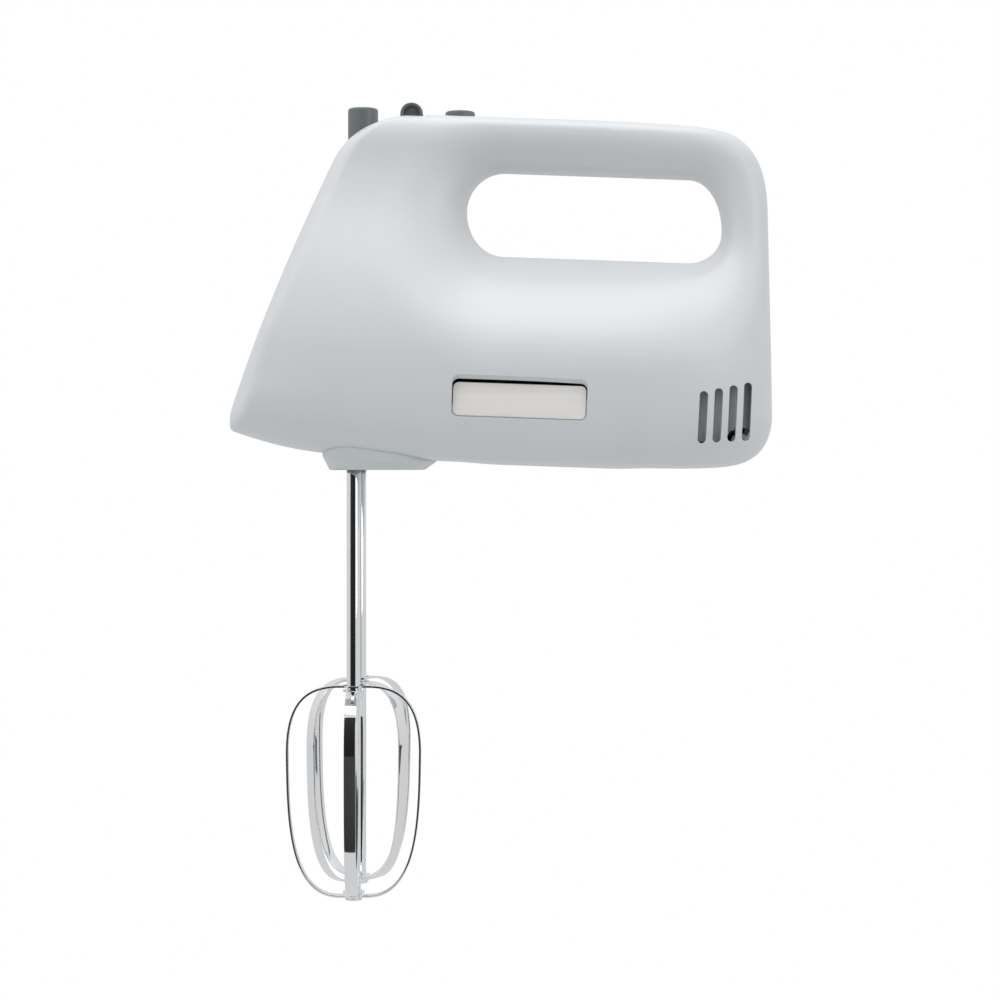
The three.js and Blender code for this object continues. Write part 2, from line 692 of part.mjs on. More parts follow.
// Cooling fan: a backed radial impeller.
const fanBlades = 9;
let fan = joined(
  sleeveX(fanFront, fanFront + 1.4, motorHeight, fanRadius, armatureShaftRadius + gap, 36),
  sleeveX(fanFront, fanFront + 8, motorHeight, 6, armatureShaftRadius + gap, 24),
);
for (let i = 0; i < fanBlades; i += 1) {
  const blade = new THREE.BoxGeometry(7, 1.2, fanRadius - 6);
  blade.translate(fanFront + 4, 0, (fanRadius - 0.4) / 2 + 3).rotateX(i * 2 * Math.PI / fanBlades);
  fan = fan.add(solid(blade.translate(0, 0, motorHeight)));
}
place('cooling_fan', fan, innerPlastic);

// Stator: a rectangular stack whose bore widens into two pockets for the field coils.
const pocketTurn = THREE.MathUtils.degToRad(28);
const statorOutline = new THREE.Shape();
const statorCorner = 9;
[[1, 1, 0], [-1, 1, 1], [-1, -1, 2], [1, -1, 3]].forEach(([y, z, quarter]) => {
  statorOutline.absarc(y * (statorHalfWidth - statorCorner), z * (statorHalfHeight - statorCorner),
    statorCorner, quarter * Math.PI / 2, (quarter + 1) * Math.PI / 2);
});
const statorHole = new THREE.Path();
statorHole.absarc(0, 0, coilOuter + gap, -pocketTurn, pocketTurn);
statorHole.absarc(0, 0, statorBore, pocketTurn, Math.PI - pocketTurn);
statorHole.absarc(0, 0, coilOuter + gap, Math.PI - pocketTurn, Math.PI + pocketTurn);
statorHole.absarc(0, 0, statorBore, Math.PI + pocketTurn, 2 * Math.PI - pocketTurn);
statorOutline.holes.push(statorHole);
const stator = alongX(extrude(statorOutline, statorLength)).translate(statorFront, 0, motorHeight);
place('stator_core', solid(stator), lamination);

// A band of a circle, extruded along X, for the legs and ends of the coils.
function arcBand(fromTurn, toTurn, x0, x1) {
  const outline = new THREE.Shape();
  outline.absarc(0, 0, coilOuter, fromTurn, toTurn);
  outline.absarc(0, 0, coilInner, toTurn, fromTurn, true);
  const segments = toTurn - fromTurn > 1 ? 7 : 2;
  return alongX(extrude(outline, x1 - x0, 1, segments)).translate(x0, 0, motorHeight);
}

const legStart = THREE.MathUtils.degToRad(2);
const legEnd = pocketTurn - THREE.MathUtils.degToRad(1.5);
[['upper', 0], ['lower', Math.PI]].forEach(([name, turn]) => {
  const coil = joined(
    solid(arcBand(turn + legStart, turn + Math.PI - legStart, statorFront - coilOverhang, statorFront - gap)),
    solid(arcBand(turn + legStart, turn + Math.PI - legStart, statorRear + gap, statorRear + coilOverhang)),
    solid(arcBand(turn + legStart, turn + legEnd, statorFront - 1, statorRear + 1)),
    solid(arcBand(turn + Math.PI - legEnd, turn + Math.PI - legStart, statorFront - 1, statorRear + 1)),
  );
  place(`${name}_field_coil`, coil, copper);
});

// Rear bracket with the rear bearing, and a brush in its holder on each side of the commutator.
const bracketTop = motorHeight + 9;
const rearBracket = joined(
  block(rearBracketX, rearBracketX + 3, -26, 26, motorHeight - 9, bracketTop),
  sleeveX(rearBracketX, rearBracketX + bearingLength, motorHeight, bearingSeat + 2.7, 1),
  ...[-1, 1].map((sign) => block(statorRear + gap, rearBracketX + 1, Math.min(sign * 22.5, sign * 26),
    Math.max(sign * 22.5, sign * 26), motorHeight - 6, motorHeight + 6)),
).subtract(bar([rearBracketX - 5, 0, motorHeight], [rearBracketX + 15, 0, motorHeight], bearingSeat, 24));
place('rear_bracket', rearBracket, castZinc);
place('rear_bearing', sleeveX(rearBracketX, rearBracketX + bearingLength, motorHeight,
  bearingRadius, armatureShaftRadius + gap), bronze);

const brushX = commutatorFront + commutatorLength / 2;
sides.forEach((side, index) => {
  const out = index ? 1 : -1;
  const across = (inner, outer, half, rise) => block(brushX - half, brushX + half,
    Math.min(out * inner, out * outer), Math.max(out * inner, out * outer),
    motorHeight - rise, motorHeight + rise);
  const holder = across(commutatorRadius + 2, 22, 4.2, 4.2)
    .subtract(across(commutatorRadius + 1, 20.5, 2.6 + gap, 2.6 + gap));
  place(`${side}_brush_holder`, holder, bronze);
  place(`${side}_carbon_brush`, across(commutatorRadius + gap, 18, 2.6, 2.6), carbon);
});

// ---- Ejector, selector and pulse button ---------------------------------------------------

// A round-wire compression spring on an upright axis.
class Helix extends THREE.Curve {
  constructor(x, radius, low, high, turns) {
    super();
    Object.assign(this, { x, radius, low, high, turns });
  }

  getPoint(share, target = new THREE.Vector3()) {
    const turn = share * this.turns * 2 * Math.PI;
    const height = THREE.MathUtils.lerp(this.low, this.high, share);
    return target.set(this.x + this.radius * Math.cos(turn), this.radius * Math.sin(turn), height);
  }
}

function spring(x, radius, wire, low, high, turns) {
  const section = new THREE.Shape();
  section.absarc(0, 0, wire, 0, 2 * Math.PI);
  const path = new Helix(x, radius, low + wire * 1.2, high - wire * 1.2, turns);
  const coil = new THREE.ExtrudeGeometry(section, {
    extrudePath: path, steps: turns * 10, curveSegments: 3, bevelEnabled: false,
  });
  return solid(coil);
}

const deckBottom = gripMiddle + 4;
const deckTop = deckBottom + 2;
const ejectTop = crownHeight(ejectX) + ejectProud;
const ejectBottom = ejectTop - 16.6;
const yokeBottom = pinTop + gap;
const rodRadius = 2.2;
const eject = joined(
  bar([ejectX, 0, ejectBottom], [ejectX, 0, ejectTop - 0.6], ejectRadius, 32),
  solid(new THREE.CylinderGeometry(ejectRadius - 0.6, ejectRadius, 0.6, 32)
    .rotateX(Math.PI / 2).translate(ejectX, 0, ejectTop - 0.3)),
);
place('eject_button', eject, buttonPlastic);
place('ejector_yoke', joined(
  block(-4, ejectX + 4, -shaftSpacing / 2 - 4, shaftSpacing / 2 + 4, yokeBottom, yokeBottom + 3),
  bar([ejectX, 0, yokeBottom + 1], [ejectX, 0, ejectBottom - gap], rodRadius, 16),
), innerPlastic);
place('eject_spring', spring(ejectX, 3.7, 0.5, deckTop + gap, ejectBottom - gap, 6), steel);

// Deck across the head: it guides the rod and carries the speed switch.
const switchTop = deckTop + 10;
place('control_deck', block(ejectX - 6, selectorX + 3.5, -9, 9, deckBottom, deckTop)
  .subtract(bar([ejectX, 0, 0], [ejectX, 0, far], rodRadius + running, 20)), innerPlastic);
place('speed_switch', block(selectorX - 8, selectorX + 3.5, -8.5, 8.5, deckTop + gap, switchTop)
  .subtract(block(selectorX - 2.5, selectorX + 2.5, -selectorTravel / 2 - 1, selectorTravel / 2 + 1,
    switchTop - 2, far)), innerPlastic);

// Selector: a round-topped slider with a sunk end, on a stem down to its wiper carriage.
const selectorY = -selectorTravel / 2;
const selectorTop = crownHeight(selectorX) + selectorProud;
const knobOutline = new THREE.Shape();
const knobRadius = selectorWidth / 2;
knobOutline.moveTo(-knobRadius, pocketFloor + gap);
knobOutline.lineTo(knobRadius, pocketFloor + gap);
knobOutline.absarc(0, selectorTop - knobRadius, knobRadius, 0, Math.PI);
const knobForm = extrude(knobOutline, selectorLength, 1, 20).rotateX(Math.PI / 2);
knobForm.translate(selectorX, selectorY + selectorLength / 2, 0);
const knobPocket = new THREE.Shape();
knobPocket.moveTo(-knobRadius + 1.3, pocketFloor + gap + 0.4);
knobPocket.lineTo(knobRadius - 1.3, pocketFloor + gap + 0.4);
knobPocket.absarc(0, selectorTop - knobRadius, knobRadius - 1.3, 0, Math.PI);
const pocketForm = extrude(knobPocket, 3, 1, 12).rotateX(Math.PI / 2);
pocketForm.translate(selectorX, selectorY - selectorLength / 2 + 1, 0);
const carriageTop = switchTop + 3.4;
const knob = joined(
  solid(knobForm).subtract(solid(pocketForm)),
  block(selectorX - 1.2, selectorX + 1.2, selectorY - 1.5, selectorY + 1.5,
    carriageTop + gap, pocketFloor + 1),
);
place('speed_selector', knob, buttonPlastic);
place('selector_carriage', block(selectorX - 3.2, selectorX + 3.2, selectorY - 3.2, selectorY + 3.2,
  switchTop + gap, carriageTop), acetal);

// Pulse button on a stem over its switch, both inside the front of the handle.
const pulseTop = crownHeight(pulseX) + pulseProud;
const pulseSkirt = pulseTop - 7.2;
const pulseSwitchTop = pulseSkirt - 4.7;
const pulseButton = joined(
  bar([pulseX, 0, pulseSkirt], [pulseX, 0, pulseTop], pulseRadius, 32),
  bar([pulseX, 0, pulseSwitchTop + pulseTravel + gap], [pulseX, 0, pulseSkirt + 1], 1.6, 12),
).subtract(solid(new THREE.SphereGeometry(28, 48, 64).rotateX(Math.PI / 2)
  .translate(pulseX, 0, pulseTop + 27.4)));
place('pulse_button', pulseButton, buttonPlastic);
place('pulse_spring', spring(pulseX, 3.1, 0.4, pulseSwitchTop + gap, pulseSkirt - gap, 3), steel);
place('pulse_switch', block(pulseX - 6.5, pulseX + 6.5, -4.5, 4.5,
  pulseSwitchTop - 5.2, pulseSwitchTop), innerPlastic);

// Speed control board on the middle plane behind the motor, stepped in past the rear bosses,
// with its suppression capacitor on the right-hand side.
const boardFront = shaftRear + 6;
const boardStep = bodyRear - 18.5;
const boardRear = bodyRear - 10;
const boardHalf = 0.8;
place('control_board', joined(
  block(boardFront, boardStep, -boardHalf, boardHalf, motorHeight - 30, motorHeight + 22),
  block(boardStep - 1, boardRear, -boardHalf, boardHalf, motorHeight - 21, motorHeight + 6),
), boardLacquer);
place('capacitor', block(boardFront + 3, boardFront + 15, boardHalf + gap, boardHalf + 9,
  motorHeight + 4, motorHeight + 18), filmYellow);

// ---- Beaters ------------------------------------------------------------------------------

// One closed strip in the XZ plane about the Z axis, with a hub where the shaft goes through.
function stripLoop(top, bottom) {
  const flat = 5;
  const widest = top - (top - bottom) * 0.306;
  const reach = beaterHalfWidth;
  const corners = (share) => {
    const middle = (top + bottom) / 2;
    const halfHeight = (top - bottom) / 2;
    const across = (x) => -x * (1 - share / beaterHalfWidth); // drawn anticlockwise
    const height = (z) => middle + (z - middle) * (1 - share / halfHeight);
    const outline = new THREE.Shape();
    outline.moveTo(across(-flat), height(top));
    outline.lineTo(across(flat), height(top));
    outline.bezierCurveTo(across(17), height(top), across(reach - 0.2), height(top - 5.6),
      across(reach), height(widest));
    outline.bezierCurveTo(across(reach - 0.3), height(widest - 24), across(reach - 0.5),
      height(bottom), across(flat), height(bottom));
    outline.lineTo(across(-flat), height(bottom));
    outline.bezierCurveTo(across(0.5 - reach), height(bottom), across(0.3 - reach),
      height(widest - 24), across(-reach), height(widest));
    outline.bezierCurveTo(across(0.2 - reach), height(top - 5.6), across(-17), height(top),
      across(-flat), height(top));
    return outline;
  };
  const outline = corners(0);
  outline.holes.push(corners(stripThickness));
  const strip = extrude(outline, stripWidth, 1, 8).translate(0, 0, -stripWidth / 2).rotateX(Math.PI / 2);
  const hubHeight = 1.2;
  const hubRadius = beaterShaftRadius + 1.4;
  return joined(
    solid(strip),
    bar([0, 0, top - hubHeight], [0, 0, top], hubRadius, 20),
    bar([0, 0, bottom], [0, 0, bottom + hubHeight], hubRadius, 20),
  ).subtract(bar([0, 0, bottom - 1], [0, 0, top + 1], beaterShaftRadius + gap, 20));
}

const nested = 1.5; // the inner strip lies this much inside the outer one
const turns = [0, Math.PI / 4];
const beaterShaft = joined(
  bar([0, 0, beaterBottom - gap], [0, 0, beaterShaftTop - 1], beaterShaftRadius, 20),
  solid(new THREE.CylinderGeometry(beaterShaftRadius - 0.8, beaterShaftRadius, 1, 20)
    .rotateX(Math.PI / 2).translate(0, 0, beaterShaftTop - 0.5)),
  block(-tabThickness / 2, tabThickness / 2, -tabReach, tabReach, tabBottom, tabBottom + tabHeight),
  bar([0, 0, beaterBottom - 1], [0, 0, beaterBottom - gap], beaterShaftRadius + 1.1, 20),
);
socketYs.forEach((y, index) => {
  const side = sides[index];
  place(`${side}_beater_shaft`, beaterShaft, chrome).position.y = y;
  const outer = place(`${side}_outer_loop`, stripLoop(beaterTop, beaterBottom), chrome);
  outer.position.y = y;
  outer.rotation.z = turns[index];
  const inner = place(`${side}_inner_loop`, stripLoop(beaterTop - nested, beaterBottom + nested), chrome);
  inner.position.y = y;
  inner.rotation.z = turns[index] + Math.PI / 2;
});

export default mixer;
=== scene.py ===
"""Hand mixer with two strip beaters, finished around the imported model, in metres."""

import math

import bmesh
import bpy
from mathutils import Matrix, Vector
import numpy as np


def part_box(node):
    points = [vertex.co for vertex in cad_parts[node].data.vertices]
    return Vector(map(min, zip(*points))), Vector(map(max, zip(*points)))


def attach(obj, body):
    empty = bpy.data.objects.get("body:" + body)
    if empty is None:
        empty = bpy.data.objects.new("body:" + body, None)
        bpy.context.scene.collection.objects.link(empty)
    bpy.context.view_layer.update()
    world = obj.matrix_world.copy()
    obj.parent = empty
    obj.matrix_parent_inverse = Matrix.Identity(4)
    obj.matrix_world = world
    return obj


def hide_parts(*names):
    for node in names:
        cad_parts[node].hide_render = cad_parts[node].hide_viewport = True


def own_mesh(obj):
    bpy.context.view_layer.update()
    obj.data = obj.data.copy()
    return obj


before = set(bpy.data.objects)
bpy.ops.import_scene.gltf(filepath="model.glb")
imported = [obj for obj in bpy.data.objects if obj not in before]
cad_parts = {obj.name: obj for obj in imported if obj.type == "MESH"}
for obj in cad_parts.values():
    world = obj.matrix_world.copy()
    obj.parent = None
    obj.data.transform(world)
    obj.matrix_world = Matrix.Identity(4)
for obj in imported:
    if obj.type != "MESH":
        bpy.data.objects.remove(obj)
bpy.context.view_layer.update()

# ---- Camera -----------------------------------------------------------------------------
# The mixer is seen square on from its left side, at the height of the socket collar.
# A long lens at just under a metre keeps both beaters nearly the same size.

camera_distance = 0.882
camera_along = 0.0533
camera_data = bpy.data.cameras.new("camera")
camera_data.lens = 85.4
camera_data.sensor_width = 36.0
camera_data.shift_y = -0.03
camera = bpy.data.objects.new("camera", camera_data)
camera.location = (camera_along, -camera_distance, 0.0)
camera.rotation_euler = (math.pi / 2, 0.0, 0.0)
bpy.context.scene.collection.objects.link(camera)
bpy.context.scene.camera = camera
bpy.context.scene.view_settings.view_transform = "Standard"


# ---- Motor: stator, armature, brushes and bearings ----------------------------------------
# A universal motor: stacked steel laminations, enamelled copper coils and a wound armature
# on a turned shaft in sintered bushes, with sprung carbon brushes on its commutator.

def add_node(tree, kind, links=None, **settings):
    """Adds a shader node; links gives each input a value or the socket that feeds it."""
    node = tree.nodes.new(kind)
    for name, value in settings.items():
        setattr(node, name, value)
    for name, value in (links or {}).items():
        if isinstance(value, bpy.types.NodeSocket):
            tree.links.new(value, node.inputs[name])
        else:
            node.inputs[name].default_value = value
    return node


def effect_group(name, inputs, outputs):
    """An empty node group with named value inputs, each with its default, and named outputs."""
    group = bpy.data.node_groups.new(name, "ShaderNodeTree")
    for label, default in inputs.items():
        socket = group.interface.new_socket(label, in_out="INPUT", socket_type="NodeSocketFloat")
        socket.default_value = default
    for label in outputs:
        group.interface.new_socket(label, in_out="OUTPUT", socket_type="NodeSocketFloat")
    return group, group.nodes.new("NodeGroupInput"), group.nodes.new("NodeGroupOutput")


def build_surface_grain():
    """Fine moulding or casting grain, and the slow unevenness of a real surface under it."""
    group, given, result = effect_group(
        "surface grain", {"Grain per metre": 2500.0, "Patches per metre": 30.0}, ["Grain", "Patches"])
    place = add_node(group, "ShaderNodeTexCoord").outputs["Object"]
    grain = add_node(group, "ShaderNodeTexNoise", {
        "Vector": place, "Scale": given.outputs["Grain per metre"], "Detail": 3.0, "Roughness": 0.6})
    patches = add_node(group, "ShaderNodeTexNoise", {
        "Vector": place, "Scale": given.outputs["Patches per metre"], "Detail": 5.0, "Roughness": 0.55})
    group.links.new(grain.outputs["Fac"], result.inputs["Grain"])
    group.links.new(patches.outputs["Fac"], result.inputs["Patches"])
    return group


def build_drawn_lines():
    """Long fine lines left by brushing, rolling or stacking, running along the least-scaled axis."""
    group, given, result = effect_group(
        "drawn lines", {"Along X": 20.0, "Along Y": 3000.0, "Along Z": 3000.0}, ["Lines", "Broad"])
    place = add_node(group, "ShaderNodeTexCoord").outputs["Object"]
    stretch = add_node(group, "ShaderNodeCombineXYZ", {
        "X": given.outputs["Along X"], "Y": given.outputs["Along Y"], "Z": given.outputs["Along Z"]})
    stretched = add_node(
        group, "ShaderNodeVectorMath", {0: place, 1: stretch.outputs[0]}, operation="MULTIPLY")
    lines = add_node(group, "ShaderNodeTexNoise", {
        "Vector": stretched.outputs[0], "Scale": 1.0, "Detail": 4.0, "Roughness": 0.7})
    broad = add_node(group, "ShaderNodeTexNoise", {
        "Vector": stretched.outputs[0], "Scale": 0.08, "Detail": 2.0})
    group.links.new(lines.outputs["Fac"], result.inputs["Lines"])
    group.links.new(broad.outputs["Fac"], result.inputs["Broad"])
    return group


surface_grain = build_surface_grain()
drawn_lines = build_drawn_lines()


def spread(tree, value, low, high):
    """Maps the middle of a noise value to a range, as a value socket."""
    node = add_node(tree, "ShaderNodeMapRange", {
        "Value": value, "From Min": 0.3, "From Max": 0.7, "To Min": low, "To Max": high})
    return node.outputs["Result"]


def two_tones(tree, mask, first, second):
    """A colour between two tones, as a colour socket."""
    node = add_node(tree, "ShaderNodeMix", data_type="RGBA")
    tree.links.new(mask, node.inputs["Factor"])
    node.inputs["A"].default_value = (*first, 1.0)
    node.inputs["B"].default_value = (*second, 1.0)
    return node.outputs["Result"]


def make_material(name, effect, first, second, rough, bump, settings=None, scales=None):
    """A Principled finish; tone and roughness follow the group's broad mask, relief its fine one."""
    material = bpy.data.materials.new(name)
    material.use_nodes = True
    tree = material.node_tree
    shader = tree.nodes["Principled BSDF"]
    pattern = add_node(tree, "ShaderNodeGroup", scales, node_tree=effect)
    fine_mask, broad_mask = pattern.outputs[0], pattern.outputs[1]
    tone = two_tones(tree, spread(tree, broad_mask, 0.0, 1.0), first, second)
    tree.links.new(tone, shader.inputs["Base Color"])
    tree.links.new(spread(tree, broad_mask, *rough), shader.inputs["Roughness"])
    relief = add_node(tree, "ShaderNodeBump", {
        "Height": fine_mask, "Strength": bump[0], "Distance": bump[1]})
    tree.links.new(relief.outputs["Normal"], shader.inputs["Normal"])
    for label, value in (settings or {}).items():
        shader.inputs[label].default_value = value
    return material


def dress(material, *names):
    """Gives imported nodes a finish."""
    for name in names:
        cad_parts[name].data.materials.clear()
        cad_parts[name].data.materials.append(material)


metal = {"Metallic": 1.0}
lamination_steel = make_material(
    "lamination steel", drawn_lines, (0.12, 0.125, 0.13), (0.20, 0.20, 0.205), (0.42, 0.6),
    (0.5, 0.00008), metal, {"Along X": 2600.0, "Along Y": 12.0, "Along Z": 12.0})
enamelled_copper = make_material(
    "enamelled copper", drawn_lines, (0.42, 0.16, 0.06), (0.62, 0.27, 0.11), (0.25, 0.42),
    (0.6, 0.0001), {"Metallic": 0.9, "Coat Weight": 0.6},
    {"Along X": 150.0, "Along Y": 1800.0, "Along Z": 1800.0})
turned_steel = make_material(
    "turned steel", drawn_lines, (0.38, 0.39, 0.40), (0.52, 0.53, 0.54), (0.22, 0.38),
    (0.25, 0.00003), metal, {"Along X": 900.0, "Along Y": 900.0, "Along Z": 2500.0})
sintered_bronze = make_material(
    "sintered bronze", surface_grain, (0.33, 0.20, 0.08), (0.47, 0.30, 0.13), (0.4, 0.58),
    (0.4, 0.00005), metal, {"Grain per metre": 5000.0})
brush_carbon = make_material(
    "brush carbon", surface_grain, (0.012, 0.012, 0.013), (0.03, 0.03, 0.03), (0.6, 0.8),
    (0.5, 0.00005), None, {"Grain per metre": 6000.0})
inner_plastic = make_material(
    "inner plastic", surface_grain, (0.022, 0.023, 0.025), (0.035, 0.036, 0.038), (0.45, 0.62),
    (0.25, 0.00004))
dress(lamination_steel, "stator_core", "armature_core")
dress(enamelled_copper, "upper_field_coil", "lower_field_coil", "armature_windings", "commutator")
dress(turned_steel, "armature_shaft")
dress(sintered_bronze, "front_bearing", "middle_bearing", "rear_bearing",
      "near_brush_holder", "far_brush_holder")
dress(brush_carbon, "near_carbon_brush", "far_carbon_brush")
dress(inner_plastic, "cooling_fan")


# ---- Gear drive and ejector ---------------------------------------------------------------
# One worm turns two moulded wheels on hollow steel spindles, in a die-cast frame screwed down
# between the shells. Two pins inside the spindles push the beaters out.

cast_zinc = make_material(
    "cast zinc", surface_grain, (0.26, 0.27, 0.28), (0.36, 0.37, 0.38), (0.38, 0.58),
    (0.5, 0.0001), metal, {"Grain per metre": 1400.0})
acetal = make_material(
    "acetal", surface_grain, (0.74, 0.71, 0.62), (0.80, 0.77, 0.69), (0.32, 0.45),
    (0.2, 0.00003), {"Subsurface Weight": 0.15, "Subsurface Scale": 0.002})
dress(cast_zinc, "gear_frame", "rear_bracket")
dress(acetal, "near_worm_wheel", "far_worm_wheel", "selector_carriage")
dress(turned_steel, "near_spindle", "far_spindle", "near_retaining_clip", "far_retaining_clip",
      "near_ejector_pin", "far_ejector_pin")
dress(inner_plastic, "ejector_yoke")


# ---- Switches and speed board -------------------------------------------------------------
# Moulded switch blocks on a deck across the head, and behind the motor a lacquered board with
# a film capacitor soldered to it.

board_lacquer = make_material(
    "board lacquer", drawn_lines, (0.10, 0.105, 0.10), (0.14, 0.145, 0.14), (0.3, 0.45),
    (0.3, 0.00006), {"Coat Weight": 0.4}, {"Along X": 400.0, "Along Y": 900.0, "Along Z": 120.0})
capacitor_film = make_material(
    "capacitor film", surface_grain, (0.55, 0.36, 0.02), (0.65, 0.45, 0.035), (0.3, 0.42),
    (0.2, 0.00005))
dress(inner_plastic, "control_deck", "speed_switch", "pulse_switch")
dress(board_lacquer, "control_board")
dress(capacitor_film, "capacitor")


# ---- Body casings -------------------------------------------------------------------------
# Two satin injection-moulded shells, left and right, meeting on a line round the whole body and
# through the handle. They lean on the beaters, the rear low, and six screws close them.

lean = math.radians(2.0)
crown = 132.2  # millimetres, in the leaning frame: p runs along the body and r up it
underside = 3.8
split_gap = 0.12
shell_wall = 2.3
socket_y = 18.0
socket_bore = 7.6
eject_x = 2.4
selector_x = 20.8
pulse_x = 38.5
control_well = 6.0


def upright(points):
    """Leaning millimetres to upright metres."""
    p, y, r = np.asarray(points, float).T
    turned = (p * math.cos(lean) + r * math.sin(lean), y, r * math.cos(lean) - p * math.sin(lean))
    return np.stack(turned, axis=-1) * 0.001


def curve_points(*handles, steps=24):
    """Points of a Bezier curve of any degree."""
    share = np.linspace(0.0, 1.0, steps + 1)[:, None]
    level = [np.asarray(handle, float) * np.ones((steps + 1, 1)) for handle in handles]
    while len(level) > 1:
        level = [a * (1 - share) + b * share for a, b in zip(level, level[1:])]
    return level[0]


def edge_reader(*pieces):
    """How far out an edge made of curve pieces lies, as a function of height."""
    points = np.concatenate(pieces)
    points = points[np.argsort(points[:, 1], kind="stable")]
    return lambda height: np.interp(height, points[:, 1], points[:, 0])


upper_front = (
    curve_points((-46.9, 21), (-33.2, 66.6), (-13.1, 113.2)),
    curve_points((-13.1, 113.2), (-7.5, 126.5), (4, 131.6), (24, 132.2)))
nose_turn = curve_points((-46.9, 8), (-47.3, 17), (-47.8, 17.6), (-46.9, 21))
front_face = edge_reader(nose_turn, *upper_front)
keel = edge_reader(
    curve_points((30, 3.8), (-8, 3.8), (-28, 6.5), (-44, 12.6)),
    curve_points((-44, 12.6), (-48.5, 14.4), (-51.5, 16.2), (-49.9, 21)),
    *(piece - (3.0, 0.0) for piece in upper_front))


def hull_front(height):
    """The keel's front edge, carried on ahead of the flat front face that cuts it off."""
    low = np.clip((height - 7.0) / 22.0, 0.0, 1.0)
    high = np.clip((height - 30.0) / 60.0, 0.0, 1.0)
    return keel(height) - 11.0 * low ** 2 * (3 - 2 * low) - 20.0 * high ** 2 * (3 - 2 * high)


hull_rear = edge_reader(
    curve_points((112.2, 3.8), (140.2, 4.2), (152.2, 6.5), (153.2, 23.8)),
    curve_points((149.2, 101.2), (148.2, 118.2), (143.2, 131.2), (121.2, 132.2)))
hull_side = edge_reader(
    curve_points((28, 3.8), (38, 6.8), (42, 25.8), (42, 39.8)),
    curve_points((42, 39.8), (42, 69.8), (19, 90.2), (17.5, 117.2)),
    curve_points((17.5, 117.2), (17.5, 126.2), (15, 131.2), (9.5, 132.2)))


def smooth_max(a, b, reach):
    """The larger of two fields, blended where they are nearly equal."""
    return np.maximum(a, b) + np.maximum(reach - np.abs(a - b), 0.0) ** 2 / (4.0 * reach)


def hull_field(p, y, r):
    """How far a point lies outside the body's rounded plan at its height, as a share, with its slope."""
    power = 2.8
    front, rear, side = hull_front(r), hull_rear(r), hull_side(r)
    middle, reach = (front + rear) / 2, (rear - front) / 2
    along, across = np.abs((p - middle) / reach), np.abs(y / side)
    total = (along ** power + across ** power) ** (1 / power)
    safe = np.maximum(total, 0.05)
    slope_p = (along / safe) ** (power - 1) / reach
    slope_y = (across / safe) ** (power - 1) / side
    return total - 1.0, np.hypot(slope_p, slope_y)


def opening_field(p, r):
    """Roughly the distance outside the finger opening's outline."""
    low, high = 81.0, 112.1
    left, right = 51.7, 120.1
    centre = np.where(p < (left + right) / 2, 97.5, 92.5)
    reach = np.where(p < (left + right) / 2, 14.0, 12.5)
    past = np.where(p < left, left - p, np.where(p > right, p - right, 0.0))
    rise = np.where(r > centre, high - centre, centre - low)
    u, v = past / reach, (r - centre) / rise
    total = np.maximum(np.hypot(u, v), 0.05)
    return (total - 1.0) * total / np.hypot(u / reach, np.maximum(np.abs(v), 0.02) / rise)


def casing_field(points):
    """Roughly the distance outside the body, below zero inside it."""
    p, y, r = points[..., 0], points[..., 1], points[..., 2]
    rise = 0.6
    value, flat_slope = hull_field(p, y, r)
    steep = (hull_field(p, y, r + rise)[0] - hull_field(p, y, r - rise)[0]) / (2 * rise)
    sides = value / np.hypot(flat_slope, steep)
    body = smooth_max(sides, smooth_max(underside - r, r - crown, 4.0), 4.0)
    bow = np.interp(r, (20.0, 50.0, 75.0, 100.0, 115.0), (60.0, 95.0, 66.0, 33.0, 25.0))
    aside = np.minimum(np.abs(y), 0.8 * bow)
    face = (front_face(r) + bow - np.sqrt(bow ** 2 - aside ** 2) - p) * 0.95
    body = smooth_max(body, face, 1.6)
    flare, half = 7.0, 17.5
    curve = flare / half ** 2
    inner = np.minimum(np.abs(y), half)
    rim = curve * inner ** 2 + 2 * curve * half * (np.abs(y) - inner)
    opening = (rim - opening_field(p, r)) / np.hypot(1.0, 2 * curve * inner)
    return smooth_max(body, opening, 14.0)


def casing_normals(points, step=0.25):
    """Unit directions out of the body's surface."""
    slopes = []
    for axis in range(3):
        nudge = np.zeros(3)
        nudge[axis] = step
        slopes.append(casing_field(points + nudge) - casing_field(points - nudge))
    slope = np.stack(slopes, axis=-1) / (2 * step)
    length = np.linalg.norm(slope, axis=-1, keepdims=True)
    return slope / np.maximum(length, 1e-6), length[..., 0]


